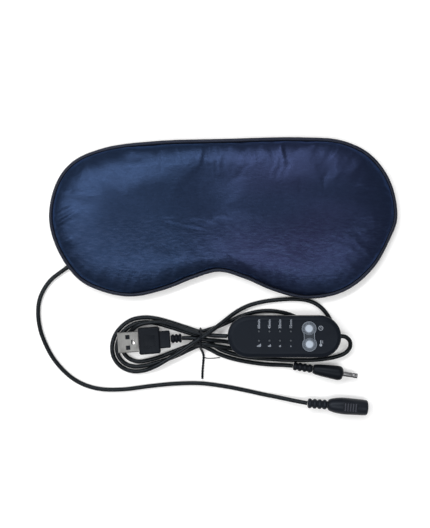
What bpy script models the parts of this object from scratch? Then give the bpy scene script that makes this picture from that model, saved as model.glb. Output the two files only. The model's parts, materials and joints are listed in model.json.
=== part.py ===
"""A heated eye mask with its pigtail cord, and the USB controller lead that powers it.

The frame's origin is on the table under the middle of the mask: +X runs along the mask to the
wearer's left end, +Y towards the forehead edge, +Z up through the satin front. Driving sizes are in
millimetres and MM turns them into Blender's metres.
"""

import math

import bmesh
import bpy
from mathutils import Matrix, Vector

MM = 0.001
GAP = 0.3  # clearance between pieces that touch

# Mask: outline of the sewn edge, from the right end over the forehead edge to the left end and back
UPPER_EDGE = [(102.0, 0), (97.9, 21.5), (86, 37.4), (69.4, 45.4), (46, 47.3), (0, 46.4),
              (-40, 45.1), (-70, 41.2), (-88.8, 33.2), (-98.6, 20.8), (-103.0, 0)]
LOWER_EDGE = [(-98.0, -19), (-85.4, -36.6), (-70.2, -44), (-54, -46.5), (-34, -42.2), (-18, -36),
              (-3, -32), (12, -36), (29, -43.2), (49, -47.8), (70.6, -43.6), (87.6, -30.2), (98, -12)]
HALF_RIM_COUNT = 28
MASK_TOP = 15.0
BRIDGE_SAG = 2.2
BRIDGE_HALF_WIDTH = 26.0
COVER = 0.6
SPINE_HALF_LENGTH = 52.0

# Seam: a round bead on a flat flange between the two covers
BEAD_RADIUS = 1.25
SEAM_Z = 5.2
FLANGE = 0.5
FLANGE_REACH = 3.4
COVER_INSET = 2 * BEAD_RADIUS + GAP
FRONT_EDGE_Z = SEAM_Z + FLANGE / 2 + GAP
BACK_EDGE_Z = SEAM_Z - FLANGE / 2 - GAP

# Inner layers, by height
BACK_WADDING_TOP = 5.4
TRACE_Z = 5.7
TRACE_THICKNESS = 0.3
FILM_Z = 6.3
FILM_THICKNESS = 0.4
FRONT_WADDING_Z = 7.0
RING_RATIOS = (0.14, 0.3, 0.5, 0.68, 0.82, 0.91, 0.965, 1.0)  # share of the way out from the long middle line
WADDING_RINGS = 6
FILM_RATIO = 0.8
LAYER_GAP = 0.65

# Elastic strap, folded in three under the mask
STRAP_WIDTH = 20.0
STRAP_THICKNESS = 0.8
STRAP_PITCH = STRAP_THICKNESS + GAP
STRAP_LIFT = 3 * STRAP_PITCH
STRAP_FULL_LIFT_Y = 14.0
STRAP_NO_LIFT_Y = 22.0
STRAP_LEFT_FOLD_X = -100.6
STRAP_RIGHT_FOLD_X = 97.0

# Cords
CORD_RADIUS = 1.25
FLOOR_Z = CORD_RADIUS + 0.1
TIE_X = -13.8
LOW_Z = 2.45
HIGH_Z = 4.88
TOP_Z = 7.45

# Controller
BOX_CENTRE = (35.1, -69.5)
BOX_LENGTH = 66.0
BOX_WIDTH = 24.3
BOX_BOTTOM = 2.9
BOX_SPLIT = 7.1
BOX_TOP = 13.4
BOX_WALL = 1.2
PCB_Z = 8.0
PCB_THICKNESS = 1.0
CORD_ENTRY_Z = BOX_SPLIT + GAP / 2
BUTTONS = {"timer": (49.1, -64.7), "heat": (49.4, -73.7)}
BUTTON_RADIUS = 2.3
BUTTON_TRAVEL = 0.5
LIGHT_X = (20.1, 26.2, 32.3, 38.6)
LIGHT_ROWS = {"timer": -66.3, "heat": -71.7}
BEZEL_RADIUS = 4.4

# Plugs: where the cord end of each lies, its heading in plan and its pitch above the table
USB_END = (-25.0, -71.0, 3.2)
USB_HEADING = 184.0
USB_PITCH = 4.6
PLUG_END = (41.0, -87.5, 2.85)
PLUG_HEADING = -8.6
PLUG_PITCH = 3.3
JACK_END = (49.3, -109.2, 4.95)
JACK_HEADING = -4.4

MASK_CORD_ROUTE = [
    (-84.4, -25.4, 3.7), (-86.3, -25.7, 3.4), (-89.0, -27.0, 2.4), (-92.6, -29.2, 1.5), (-96.4, -31.9, FLOOR_Z),
    (-102.3, -36.5, FLOOR_Z), (-106.7, -42.4, FLOOR_Z), (-109.4, -49, FLOOR_Z), (-110.1, -57, FLOOR_Z),
    (-108.8, -66.2, FLOOR_Z), (-106, -74, FLOOR_Z), (-101.6, -82.4, FLOOR_Z), (-96, -89.4, FLOOR_Z),
    (-89.4, -95.2, FLOOR_Z), (-82, -99.1, FLOOR_Z), (-73, -101.4, FLOOR_Z), (-60, -101.6, FLOOR_Z),
    (-43.5, -99.6, FLOOR_Z), (-28.8, -98.2, FLOOR_Z), (-14, -98, FLOOR_Z), (0, -99.7, FLOOR_Z),
    (12, -102, FLOOR_Z), (22, -104.2, 1.5), (32, -106.1, 2.4), (41, -107.8, 3.9), (49.0, -109.17, 4.93),
]
USB_CORD_ROUTE = [
    (-24.7, -71.0, 3.18), (-19.5, -71.0, 3.75), (TIE_X, -71.4, HIGH_Z), (-9, -72.1, 4.5),
    (-4, -72.6, 3.0), (1, -73.2, 1.6), (6, -74.3, FLOOR_Z), (14, -76.2, FLOOR_Z),
    (24, -77.3, FLOOR_Z), (34, -76.7, FLOOR_Z), (42.5, -74.4, FLOOR_Z), (48, -71, FLOOR_Z),
    (49.6, -66.3, FLOOR_Z), (46.6, -61.4, FLOOR_Z), (40.5, -57.8, FLOOR_Z), (34, -55.9, FLOOR_Z),
    (27.5, -55.1, FLOOR_Z), (20.3, -55.5, FLOOR_Z), (13, -57.2, FLOOR_Z), (6, -60.1, FLOOR_Z),
    (0.6, -62.6, FLOOR_Z), (-4.6, -64.7, 1.5), (-9.3, -66.2, 1.9), (TIE_X, -67.2, LOW_Z),
    (-22, -64.9, 1.6), (-31.3, -61.9, FLOOR_Z), (-39, -59.8, FLOOR_Z), (-46.5, -58.9, FLOOR_Z),
    (-54.3, -60.2, FLOOR_Z), (-60.5, -64.2, FLOOR_Z), (-64.7, -69.9, FLOOR_Z), (-66.3, -76.3, FLOOR_Z),
    (-65.2, -82.7, FLOOR_Z), (-61.2, -87.9, FLOOR_Z), (-54.5, -90.8, FLOOR_Z), (-47.5, -90.4, 1.6),
    (-40.5, -87.7, 3.4), (-34.5, -84.2, 4.4), (-29, -80.8, 5.3), (-24, -77.5, 6.2),
    (-19, -74.0, 7.1), (TIE_X, -70.7, TOP_Z), (-9.3, -67.7, 7.6), (-4.5, -64.3, 6.4),
    (0.6, -60.5, 4.4), (5, -57.2, 2.7), (9.6, -54.3, 1.7), (15.3, -51.7, FLOOR_Z),
    (21.5, -50.0, FLOOR_Z), (29, -48.8, FLOOR_Z), (38, -48.1, FLOOR_Z), (46, -48.3, FLOOR_Z),
    (52, -49.7, FLOOR_Z), (57, -52.6, FLOOR_Z), (61, -57, FLOOR_Z), (63.7, -62.2, FLOOR_Z),
    (65, -67.4, FLOOR_Z), (63.8, -72.4, FLOOR_Z), (60, -76, FLOOR_Z), (54, -78.2, FLOOR_Z),
    (45, -79.8, FLOOR_Z), (34, -80.6, FLOOR_Z), (24, -80.5, FLOOR_Z), (15, -79.4, FLOOR_Z),
    (9, -78.3, FLOOR_Z), (4.2, -77.2, 1.7), (-1, -76.2, 3.3), (-6.5, -75.2, 4.6),
    (TIE_X, -74.2, HIGH_Z), (-19, -75.0, 3.6), (-24.5, -77.0, 1.9), (-30, -79.2, FLOOR_Z),
    (-37, -82.0, FLOOR_Z), (-44.5, -84.2, FLOOR_Z), (-51.5, -85.0, FLOOR_Z), (-57.4, -82.4, FLOOR_Z),
    (-60.3, -76.8, FLOOR_Z), (-58.8, -71.6, FLOOR_Z), (-55.5, -67.6, 1.4), (-53.0, -65.3, 2.7),
    (-50.3, -63.3, 3.8), (-45.5, -62.0, 4.05), (-37, -61.8, 3.95), (-29, -63.9, 3.9), (-21, -66.6, 4.4),
    (TIE_X, -68.6, HIGH_Z), (-9, -69.0, 4.8), (-4, -69.4, 5.8), (1.8, -69.5, 7.25),
]
OUTPUT_CORD_ROUTE = [
    (68.4, -69.5, 7.25), (71.0, -69.9, 7.1), (73.7, -72.3, 6.3), (74.1, -76.2, 5.0),
    (71.6, -79.7, 3.6), (67.0, -81.9, 2.4), (61.5, -83.2, 1.6), (54, -84.1, FLOOR_Z),
    (45, -84.2, FLOOR_Z), (36, -84.1, FLOOR_Z), (27, -83.6, FLOOR_Z), (18, -82.9, FLOOR_Z),
    (10, -81.6, FLOOR_Z), (3.5, -79.9, FLOOR_Z), (-2, -77.8, FLOOR_Z), (-6, -75.2, FLOOR_Z),
    (-9.5, -72.5, 1.8), (TIE_X, -70.1, LOW_Z), (-18, -69.0, 2.1), (-23, -67.4, 1.6), (-32, -64.7, FLOOR_Z), (-39.5, -62.6, FLOOR_Z), (-46.4, -61.75, FLOOR_Z),
    (-53.3, -63, FLOOR_Z), (-58.5, -66.4, FLOOR_Z), (-62, -71.3, FLOOR_Z), (-63.4, -76.6, FLOOR_Z),
    (-62.3, -82.0, FLOOR_Z), (-58.9, -86.0, FLOOR_Z), (-53.6, -88.0, FLOOR_Z), (-47.3, -87.6, FLOOR_Z),
    (-41, -86.0, FLOOR_Z), (-34.3, -84.0, FLOOR_Z), (-27, -81.2, FLOOR_Z), (-20.4, -78.0, 1.6),
    (TIE_X, -75.6, LOW_Z), (-8.5, -77.7, 1.9), (-3, -80.6, 1.5), (3.5, -82.9, FLOOR_Z),
    (10, -84.5, FLOOR_Z), (18, -85.9, FLOOR_Z), (27, -86.9, FLOOR_Z), (34.5, -87.1, 1.9),
    (40.7, -87.45, 2.83),
]
TIE_LOOP = [
    (-67.2, 0.55), (-71.4, 0.55), (-75.6, 0.55), (-77.1, 1.3), (-77.55, 2.6), (-77.0, 4.2),
    (-75.9, 6.0), (-73.6, 7.7), (-71.6, 9.1), (-70.0, 9.15), (-68.5, 8.2), (-66.9, 6.2),
    (-65.6, 4.2), (-65.25, 2.5), (-65.7, 1.2),
]
TIE_TAIL = [(-13.8, -77.3, 2.2), (-12.9, -78.9, 1.5), (-12.1, -81.4, 0.8), (-12.3, -86, 0.7),
            (-12.7, -91, 0.7), (-12.8, -95.3, 0.7)]
TIE_THIN_TAIL = [(-12.1, -82.2, 0.7), (-10.6, -83.4, 0.5), (-6.5, -84.0, 0.45), (-2.6, -84.2, 0.45)]
HEATER_LEADS = {
    "heater_lead_live": [(-75.7, -24.6, 3.6), (-73, -23.6, 4.1), (-70, -22, 4.75), (-67, -21, 4.85)],
    "heater_lead_return": [(-75.7, -26.4, 3.6), (-73, -27.4, 4.1), (-70, -28.4, 4.75), (-66, -28.8, 4.85)],
}

COLOURS = {
    "satin": ((0.027, 0.045, 0.105), 0.42, 0.0),
    "lining": ((0.02, 0.025, 0.045), 0.9, 0.0),
    "piping": ((0.008, 0.009, 0.014), 0.55, 0.0),
    "wadding": ((0.8, 0.8, 0.78), 0.95, 0.0),
    "film": ((0.45, 0.26, 0.06), 0.35, 0.0),
    "copper": ((0.6, 0.28, 0.16), 0.35, 1.0),
    "red_wire": ((0.5, 0.02, 0.02), 0.4, 0.0),
    "black_plastic": ((0.017, 0.019, 0.024), 0.45, 0.0),
    "soft_black": ((0.015, 0.016, 0.018), 0.5, 0.0),
    "white_plastic": ((0.75, 0.76, 0.78), 0.4, 0.0),
    "silver_plastic": ((0.42, 0.47, 0.53), 0.35, 0.4),
    "steel": ((0.55, 0.55, 0.54), 0.25, 1.0),
    "gold": ((0.75, 0.55, 0.2), 0.3, 1.0),
    "board": ((0.02, 0.16, 0.06), 0.45, 0.0),
}


# --- building blocks ---------------------------------------------------------------------------

def material(name):
    """The named material, made the first time it is asked for."""
    found = bpy.data.materials.get(name)
    if found:
        return found
    made = bpy.data.materials.new(name)
    made.use_nodes = True
    colour, roughness, metallic = COLOURS[name]
    shader = made.node_tree.nodes["Principled BSDF"]
    shader.inputs["Base Color"].default_value = (*colour, 1)
    shader.inputs["Roughness"].default_value = roughness
    shader.inputs["Metallic"].default_value = metallic
    made.diffuse_color = (*colour, 1)
    return made


def add(name, data, finish, matrix=None):
    """Puts a mesh or a curve in the scene under a name, with its own material."""
    piece = bpy.data.objects.new(name, data)
    bpy.context.scene.collection.objects.link(piece)
    data.materials.append(material(finish))
    if matrix is not None:
        piece.matrix_world = matrix
    return piece


def solid(name, points, faces, finish, matrix=None, sharp=35):
    """A closed mesh from millimetre points, faces turned outwards, shaded smooth up to a sharp angle."""
    shape = bmesh.new()
    corners = [shape.verts.new(Vector(point) * MM) for point in points]
    for face in faces:
        shape.faces.new([corners[index] for index in face])
    bmesh.ops.recalc_face_normals(shape, faces=shape.faces)
    mesh = bpy.data.meshes.new(name)
    shape.to_mesh(mesh)
    shape.free()
    mesh.shade_smooth()
    mesh.set_sharp_from_angle(angle=math.radians(sharp))
    return add(name, mesh, finish, matrix)


def lofted(name, rings, finish, matrix=None, caps=True):
    """Closed skin over rings of equal count, capped at both ends or closed back on itself."""
    count = len(rings[0])
    points = [point for ring in rings for point in ring]
    bands = len(rings) - 1 if caps else len(rings)
    faces = []
    for band in range(bands):
        low, high = band * count, (band + 1) % len(rings) * count
        for index in range(count):
            after = (index + 1) % count
            faces.append((low + index, low + after, high + after, high + index))
    if caps:
        faces.append(tuple(range(count)))
        faces.append(tuple(range((len(rings) - 1) * count, len(rings) * count)))
    return solid(name, points, faces, finish, matrix)


def prism(name, outline, low, high, finish, matrix=None):
    """An outline in plan, extruded between two heights."""
    rings = [[(x, y, z) for x, y in outline] for z in (low, high)]
    return lofted(name, rings, finish, matrix)


def box(name, low, high, finish, matrix=None, bevel=0.0):
    """A block between two corners, its edges rounded when a bevel is given."""
    outline = [(low[0], low[1]), (high[0], low[1]), (high[0], high[1]), (low[0], high[1])]
    piece = prism(name, outline, low[2], high[2], finish, matrix)
    if bevel:
        rounding = piece.modifiers.new("rounding", "BEVEL")
        rounding.width = bevel * MM
        rounding.segments = 2
    return piece


def circle(x, y, radius, sides):
    """Corners of a circle in plan."""
    turns = [2 * math.pi * side / sides for side in range(sides)]
    return [(x + radius * math.cos(turn), y + radius * math.sin(turn)) for turn in turns]


def post(name, x, y, radius, low, high, finish, sides=16):
    """An upright cylinder."""
    return prism(name, circle(x, y, radius, sides), low, high, finish)


def turned(name, profile, finish, matrix, sides=20, closed=False):
    """A profile of (along, radius) turned about the local X axis. A closed profile leaves a bore."""
    rings = []
    for along, radius in profile:
        ring = [(along, y, z) for y, z in circle(0, 0, radius, sides)]
        rings.append(ring)
    return lofted(name, rings, finish, matrix, caps=not closed)


def cut(piece, cutter):
    """Takes the cutter's shape out of the piece."""
    cutter.hide_render = True
    cutter.display_type = "WIRE"
    difference = piece.modifiers.new("cut", "BOOLEAN")
    difference.object = cutter
    difference.operation = "DIFFERENCE"
    difference.solver = "EXACT"


def join(piece, other):
    """Adds the other's shape to the piece, and leaves the other as a guide."""
    other.hide_render = True
    other.display_type = "WIRE"
    union = piece.modifiers.new("join", "BOOLEAN")
    union.object = other
    union.operation = "UNION"
    union.solver = "EXACT"


def spline(points, closed, steps=12):
    """A centripetal Catmull-Rom curve through the points, densely sampled."""
    route = [Vector((*point, 0)[:3]) for point in points]
    if closed:
        route = [route[-1], *route, route[0], route[1]]
    else:
        route = [2 * route[0] - route[1], *route, 2 * route[-1] - route[-2]]
    curve = []
    for a, b, c, d in zip(route, route[1:], route[2:], route[3:]):
        t1 = (b - a).length ** 0.5
        t2 = t1 + (c - b).length ** 0.5
        t3 = t2 + (d - c).length ** 0.5
        for step in range(steps):
            t = t1 + (t2 - t1) * step / steps
            ab = a.lerp(b, t / t1)
            bc = b.lerp(c, (t - t1) / (t2 - t1))
            cd = c.lerp(d, (t - t2) / (t3 - t2))
            abc = ab.lerp(bc, t / t2)
            bcd = bc.lerp(cd, (t - t1) / (t3 - t1))
            curve.append(abc.lerp(bcd, (t - t1) / (t2 - t1)))
    if not closed:
        curve.append(route[-2])
    return curve


def spaced(curve, count, bend_weight=0.0):
    """Count points along a sampled curve, closer together where it bends when a weight is given."""
    marks = [0.0]
    for index in range(1, len(curve)):
        stretch = (curve[index] - curve[index - 1]).length
        turn = 0.0
        if 1 < index:
            turn = (curve[index] - curve[index - 1]).angle(curve[index - 1] - curve[index - 2], 0.0)
        marks.append(marks[-1] + stretch + bend_weight * turn)
    picked = []
    index = 0
    for step in range(count):
        mark = marks[-1] * step / (count - 1)
        while index < len(marks) - 2 and marks[index + 1] < mark:
            index += 1
        share = (mark - marks[index]) / (marks[index + 1] - marks[index])
        picked.append(curve[index].lerp(curve[index + 1], share))
    return picked


def pipe(name, points, radius, finish, sides=8, cyclic=False):
    """A round tube as a mesh, for pieces that a Boolean joins or cuts."""
    rings = []
    count = len(points)
    for index, point in enumerate(points):
        before = points[index - 1] if index or cyclic else point
        after = points[(index + 1) % count] if index < count - 1 or cyclic else point
        ahead = (after - before).normalized()
        side = ahead.cross(Vector((1, 0, 0)) if cyclic else Vector((0, 0, 1))).normalized()
        up = side.cross(ahead)
        turns = [2 * math.pi * step / sides for step in range(sides)]
        rings.append([point + radius * (math.cos(turn) * side + math.sin(turn) * up) for turn in turns])
    return lofted(name, rings, finish, caps=not cyclic)


def cord(name, route, radius, count, finish):
    """A plain cord: a bevelled curve along a smooth run through the route's points."""
    bend_weight = 8.0
    points = spaced(spline(route, closed=False), count, bend_weight)
    data = bpy.data.curves.new(name, "CURVE")
    data.dimensions = "3D"
    data.bevel_depth = radius * MM
    data.bevel_resolution = 2
    data.use_fill_caps = True
    run = data.splines.new("POLY")
    run.points.add(count - 1)
    for place, point in zip(run.points, points):
        place.co = (*(point * MM), 1)
    return add(name, data, finish)


def attitude(end, heading, pitch=0.0):
    """The matrix that puts a connector's local X axis at a heading in plan and a pitch above it."""
    turn = Matrix.Rotation(math.radians(heading), 4, "Z")
    tilt = Matrix.Rotation(math.radians(-pitch), 4, "Y")
    return Matrix.Translation(Vector(end) * MM) @ turn @ tilt


# --- the mask ----------------------------------------------------------------------------------

def mask_outline():
    """The sewn edge, with as many points over the forehead edge as under the nose edge."""
    steps = 12
    curve = spline(UPPER_EDGE + LOWER_EDGE, closed=True, steps=steps)
    left_end = (len(UPPER_EDGE) - 1) * steps
    upper = spaced(curve[: left_end + 1], HALF_RIM_COUNT + 1)
    lower = spaced(curve[left_end:] + curve[:1], HALF_RIM_COUNT + 1)
    return upper[:-1] + lower[:-1]


def inset(outline, distance):
    """The outline moved inwards."""
    moved = []
    for index, point in enumerate(outline):
        ahead = outline[(index + 1) % len(outline)] - outline[index - 1]
        inwards = Vector((-ahead.y, ahead.x, 0)).normalized()
        moved.append(point + inwards * distance)
    return moved


def smooth_step(share):
    """0 to 1 with level ends."""
    share = min(max(share, 0.0), 1.0)
    return share * share * (3 - 2 * share)


def dome_height(x, ratio, crown):
    """Height of the front: an elliptic roll-off to the seam, and a sag over the nose."""
    sag = BRIDGE_SAG * math.exp(-(x / BRIDGE_HALF_WIDTH) ** 2)
    roll_off = math.sqrt(max(0.0, 1 - ratio ** 3))
    return FRONT_EDGE_Z + (crown - sag - FRONT_EDGE_Z) * roll_off


def back_height(y, ratio, rise):
    """Height of the back: flat on the table, lifted over the folded strap, curving up to the seam."""
    lift_share = smooth_step((STRAP_NO_LIFT_Y - abs(y)) / (STRAP_NO_LIFT_Y - STRAP_FULL_LIFT_Y))
    base = STRAP_LIFT * lift_share + rise
    roll_up = 1 - math.sqrt(max(0.0, 1 - ratio ** 6))
    return base + (BACK_EDGE_Z - base) * roll_up


def plan_ring(rim, ratio):
    """The rim drawn in towards the mask's long middle line."""
    ring = []
    for point in rim:
        middle = max(-SPINE_HALF_LENGTH, min(SPINE_HALF_LENGTH, point.x * 0.62))
        ring.append((middle + (point.x - middle) * ratio, point.y * ratio))
    return ring


def layered(name, rings, finish):
    """A skin over rings that start and end at the long middle line, closed there by a ladder of faces."""
    count = len(rings[0])
    half = count // 2
    points = [point for ring in rings for point in ring]
    faces = []
    for band in range(len(rings) - 1):
        low, high = band * count, (band + 1) * count
        for index in range(count):
            after = (index + 1) % count
            faces.append((low + index, low + after, high + after, high + index))
    for start in (0, (len(rings) - 1) * count):
        faces.append((start, start + 1, start + count - 1))
        faces.append((start + half - 1, start + half, start + half + 1))
        for index in range(1, half - 1):
            faces.append((start + index, start + index + 1, start + count - index - 1, start + count - index))
    return solid(name, points, faces, finish, sharp=60)


def cover(name, outline, height, finish):
    """A cloth shell: an outer skin, an inner skin a cloth's thickness inside, joined at the edge."""
    outer_rim = inset(outline, COVER_INSET)
    inner_rim = inset(outline, COVER_INSET + COVER)
    rings = []
    for ratio in RING_RATIOS:
        rings.append([(x, y, height(x, y, ratio, 0)) for x, y in plan_ring(outer_rim, ratio)])
    for ratio in reversed(RING_RATIOS):
        rings.append([(x, y, height(x, y, ratio, COVER)) for x, y in plan_ring(inner_rim, ratio)])
    return layered(name, rings, finish)


def front_height(x, y, ratio, depth):
    return dome_height(x, ratio, MASK_TOP - depth)


def rear_height(x, y, ratio, depth):
    return back_height(y, ratio, depth)


def wadding(name, outline, flat_z, height):
    """A pad with one flat side, its other side following the cover's inner skin."""
    rim = inset(outline, COVER_INSET + COVER)
    inner = RING_RATIOS[:WADDING_RINGS]
    rings = [[(x, y, flat_z) for x, y in plan_ring(rim, ratio)] for ratio in inner]
    rings += [[(x, y, height(x, y, ratio)) for x, y in plan_ring(rim, ratio)] for ratio in reversed(inner)]
    return layered(name, rings, "wadding")


def make_piping(outline):
    """The bead round the whole edge, with the flange that is sewn between the covers."""
    bead = [(BEAD_RADIUS * math.cos(math.radians(turn)), BEAD_RADIUS * math.sin(math.radians(turn)))
            for turn in (22, 67, 112, 157, 202, 247, 292, 338)]
    profile = [(FLANGE_REACH, FLANGE / 2), *bead, (FLANGE_REACH, -FLANGE / 2)]
    rings = []
    for inwards, up in profile:
        rim = inset(outline, BEAD_RADIUS + inwards)
        rings.append([(point.x, point.y, SEAM_Z + up) for point in rim])
    return lofted("edge_piping", rings, "piping", caps=False)


def make_heater(outline):
    """The film, the conductor on its underside, and the sensor and fuse on its upper side."""
    rim = inset(outline, COVER_INSET + COVER)
    film = plan_ring(rim, FILM_RATIO)
    prism("heater_film", film, FILM_Z, FILM_Z + FILM_THICKNESS, "film")
    make_trace()
    sensor_low = (-4.0, 8.0, FRONT_WADDING_Z)
    sensor_high = (0.0, 10.4, FRONT_WADDING_Z + 1.2)
    box("temperature_sensor", sensor_low, sensor_high, "black_plastic")
    fuse_low = (-46.0, -3.0, FRONT_WADDING_Z)
    fuse_high = (-38.0, 0.0, FRONT_WADDING_Z + 1.4)
    box("thermal_fuse", fuse_low, fuse_high, "white_plastic")
    return [(sensor_low, sensor_high), (fuse_low, fuse_high)]


def make_trace():
    """A flat conductor that snakes across both eyes and comes back along the forehead edge."""
    half = 0.8
    pitch = 9.0
    runs = 12
    low_y, high_y, return_y = -16.0, 13.0, 19.0
    start = -58.0
    line = [(-67, -21), (start, -21)]
    for run in range(runs):
        x = start + pitch * (run + 1)
        first, second = (high_y, low_y) if run % 2 else (low_y, high_y)
        if run == 0:
            line.append((x - pitch, second))
        line.append((x, second))
        line.append((x, first))
    line += [(start + pitch * runs + 6, line[-1][1]), (start + pitch * runs + 6, return_y),
             (-66, return_y), (-66, -10), (-72, -10), (-72, -28.6), (-66, -28.6)]
    ring_a, ring_b = [], []
    for index, (x, y) in enumerate(line):
        here = Vector((x, y))
        before = (here - Vector(line[index - 1])).normalized() if index else None
        after = (Vector(line[index + 1]) - here).normalized() if index < len(line) - 1 else None
        before = before or after
        after = after or before
        side = Vector((-before.y - after.y, before.x + after.x))
        side = side / max(side.dot(Vector((-before.y, before.x))), 0.5)
        ring_a.append(tuple(here + side * half))
        ring_b.append(tuple(here - side * half))
    outline = ring_a + ring_b[::-1]
    prism("heater_trace", outline, TRACE_Z, TRACE_Z + TRACE_THICKNESS, "copper")


def make_mask():
    """The covers, wadding, heater and piping."""
    outline = mask_outline()
    cover("front_cover", outline, front_height, "satin")
    back = cover("back_cover", outline, rear_height, "lining")
    make_piping(outline)
    upper_pad = wadding("front_wadding", outline, FRONT_WADDING_Z,
                        lambda x, y, ratio: front_height(x, y, ratio, COVER) - LAYER_GAP)
    lower_pad = wadding("back_wadding", outline, BACK_WADDING_TOP,
                        lambda x, y, ratio: rear_height(x, y, ratio, COVER) + LAYER_GAP)
    for index, (low, high) in enumerate(make_heater(outline)):
        pocket_low = [value - GAP for value in low]
        pocket_high = [value + GAP for value in high]
        cut(upper_pad, box(f"cutter_pocket_{index}", pocket_low, pocket_high, "wadding"))
    cut(lower_pad, box("cutter_cord_notch", (-100, -31.5, 0), (-62, -19, 8), "wadding"))
    entry = spaced(spline(MASK_CORD_ROUTE[:6], closed=False), 10)
    cut(back, pipe("cutter_cord_entry", entry, CORD_RADIUS + GAP, "lining"))


def make_mask_wiring():
    """The sleeve that anchors the pigtail, and the two leads from it to the conductor's ends."""
    turned("cord_sleeve", [(0, 1.7), (7.5, 1.7)], "soft_black", attitude((-83.9, -25.3, 3.8), 0), sides=12)
    for name, route in HEATER_LEADS.items():
        finish = "red_wire" if "live" in name else "soft_black"
        cord(name, route, 0.45, 8, finish)


def arc(x, z, radius, first, last, steps=5):
    """Points of an arc in the strap's side view, angles in degrees."""
    turns = [math.radians(first + (last - first) * step / steps) for step in range(steps + 1)]
    return [(x + radius * math.cos(turn), z + radius * math.sin(turn)) for turn in turns]


def make_strap():
    """One elastic, sewn on at both ends and folded in three under the mask."""
    half = STRAP_THICKNESS / 2
    low, middle, high = half, half + STRAP_PITCH, half + 2 * STRAP_PITCH
    fold = STRAP_PITCH / 2
    path = [(-88, high), *arc(STRAP_LEFT_FOLD_X, middle, STRAP_PITCH, 90, 270)]
    path += arc(60, low + fold, fold, -90, 90)
    path += arc(-30, middle + fold, fold, -90, -270)
    path += [(70, high), (77, middle), (84, low)]
    path += [*arc(STRAP_RIGHT_FOLD_X, middle, STRAP_PITCH, -90, 90), (90, high)]
    sides = ([], [])
    for index, point in enumerate(path):
        before = Vector(path[max(index - 1, 0)])
        after = Vector(path[min(index + 1, len(path) - 1)])
        ahead = (after - before).normalized()
        across = Vector((-ahead.y, ahead.x)) * half
        sides[0].append(Vector(point) + across)
        sides[1].append(Vector(point) - across)
    outline = sides[0] + sides[1][::-1]
    width = STRAP_WIDTH / 2
    rings = [[(x, y, z) for x, z in outline] for y in (-width, width)]
    lofted("strap_band", rings, "piping")


# --- connectors --------------------------------------------------------------------------------

def ribs(start, pitch, count, core, bulge):
    """Profile of a ribbed sleeve: bulges a pitch apart on a thinner core."""
    profile = []
    for rib in range(count):
        at = start + rib * pitch
        profile += [(at, core), (at + 0.22 * pitch, bulge), (at + 0.62 * pitch, bulge), (at + 0.84 * pitch, core)]
    profile.append((start + count * pitch, core))
    return profile


def make_jack():
    """The pigtail's ribbed relief and barrel jack, with its contact sleeve and pin."""
    matrix = attitude(JACK_END, JACK_HEADING)
    turned("dc_jack_strain_relief", ribs(0, 2.9, 4, 2.1, 2.9), "soft_black", matrix, sides=16)
    body = [(11.9, 2.7), (13, 3.7), (15, 4.4), (19, 4.85), (28, 4.7), (34.3, 4.55), (35.1, 4.2),
            (35.1, 2.45), (25.0, 2.45), (25.0, 0.9), (23.6, 0.9)]
    turned("dc_jack_housing", body, "soft_black", matrix, sides=24)
    liner = [(34.6, 2.15), (34.6, 1.7), (26.4, 1.7), (26.4, 2.15)]
    turned("dc_jack_sleeve", liner, "steel", matrix, sides=20, closed=True)
    turned("dc_jack_pin", [(23.9, 0.4), (33.0, 0.4), (33.4, 0.25)], "steel", matrix, sides=10)


def make_plug():
    """The output cord's ribbed relief and barrel plug."""
    matrix = attitude(PLUG_END, PLUG_HEADING, PLUG_PITCH)
    turned("dc_plug_strain_relief", ribs(0, 2.85, 4, 1.9, 2.5), "soft_black", matrix, sides=16)
    body = [(11.7, 2.3), (12.1, 3.1), (17, 3.5), (26.2, 4.25), (28.2, 3.9), (29.3, 2.7)]
    turned("dc_plug_overmould", body, "soft_black", matrix, sides=24)
    barrel = [(29.6, 1.5), (37.9, 1.5), (37.9, 1.1), (29.6, 1.1)]
    turned("dc_plug_barrel", barrel, "steel", matrix, sides=16, closed=True)
    insulator = [(29.6, 0.8), (37.4, 0.8), (37.4, 0.5), (29.6, 0.5)]
    turned("dc_plug_insulator", insulator, "soft_black", matrix, sides=12, closed=True)


def make_usb():
    """The USB-A plug: metal shell, tongue with four contacts, and the moulding behind it."""
    matrix = attitude(USB_END, USB_HEADING, USB_PITCH)
    turned("usb_strain_relief", ribs(0, 2.15, 3, 1.9, 2.65), "soft_black", matrix, sides=16)
    mould = box("usb_overmould", (12.8, -7.8, -4), (25.4, 7.8, 4), "black_plastic", matrix, bevel=1.5)
    neck = box("guide_usb_neck", (6.8, -5, -3), (14.5, 5, 3), "black_plastic", matrix, bevel=0.8)
    join(mould, neck)
    make_usb_shell(matrix)
    box("usb_tongue", (25.7, -5.3, -1.6), (36.6, 5.3, 0.2), "white_plastic", matrix)
    for index in range(4):
        across = (index - 1.5) * 2.2
        low = (28.5, across - 0.5, 0.5)
        box(f"usb_contact_{index + 1}", low, (36, across + 0.5, 0.8), "gold", matrix)


def make_usb_shell(matrix):
    """A rectangular tube with two square windows and a small slot near the moulding."""
    back, front, wall = 25.7, 37.6, 0.35
    shell = box("usb_shell", (back, -6, -2.25), (front, 6, 2.25), "steel", matrix)
    bore_low = (back - 2, wall - 6, wall - 2.25)
    bore_high = (front + 2, 6 - wall, 2.25 - wall)
    cut(shell, box("cutter_usb_bore", bore_low, bore_high, "steel", matrix))
    for index, across in enumerate((-3.1, 3.1)):
        low = (30.5, across - 1.2, -4)
        window = box(f"cutter_usb_window_{index}", low, (32.9, across + 1.2, 4), "steel", matrix)
        cut(shell, window)
    cut(shell, box("cutter_usb_slot", (27.2, -0.7, 1), (28.6, 0.7, 4), "steel", matrix))


# --- controller --------------------------------------------------------------------------------

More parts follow.
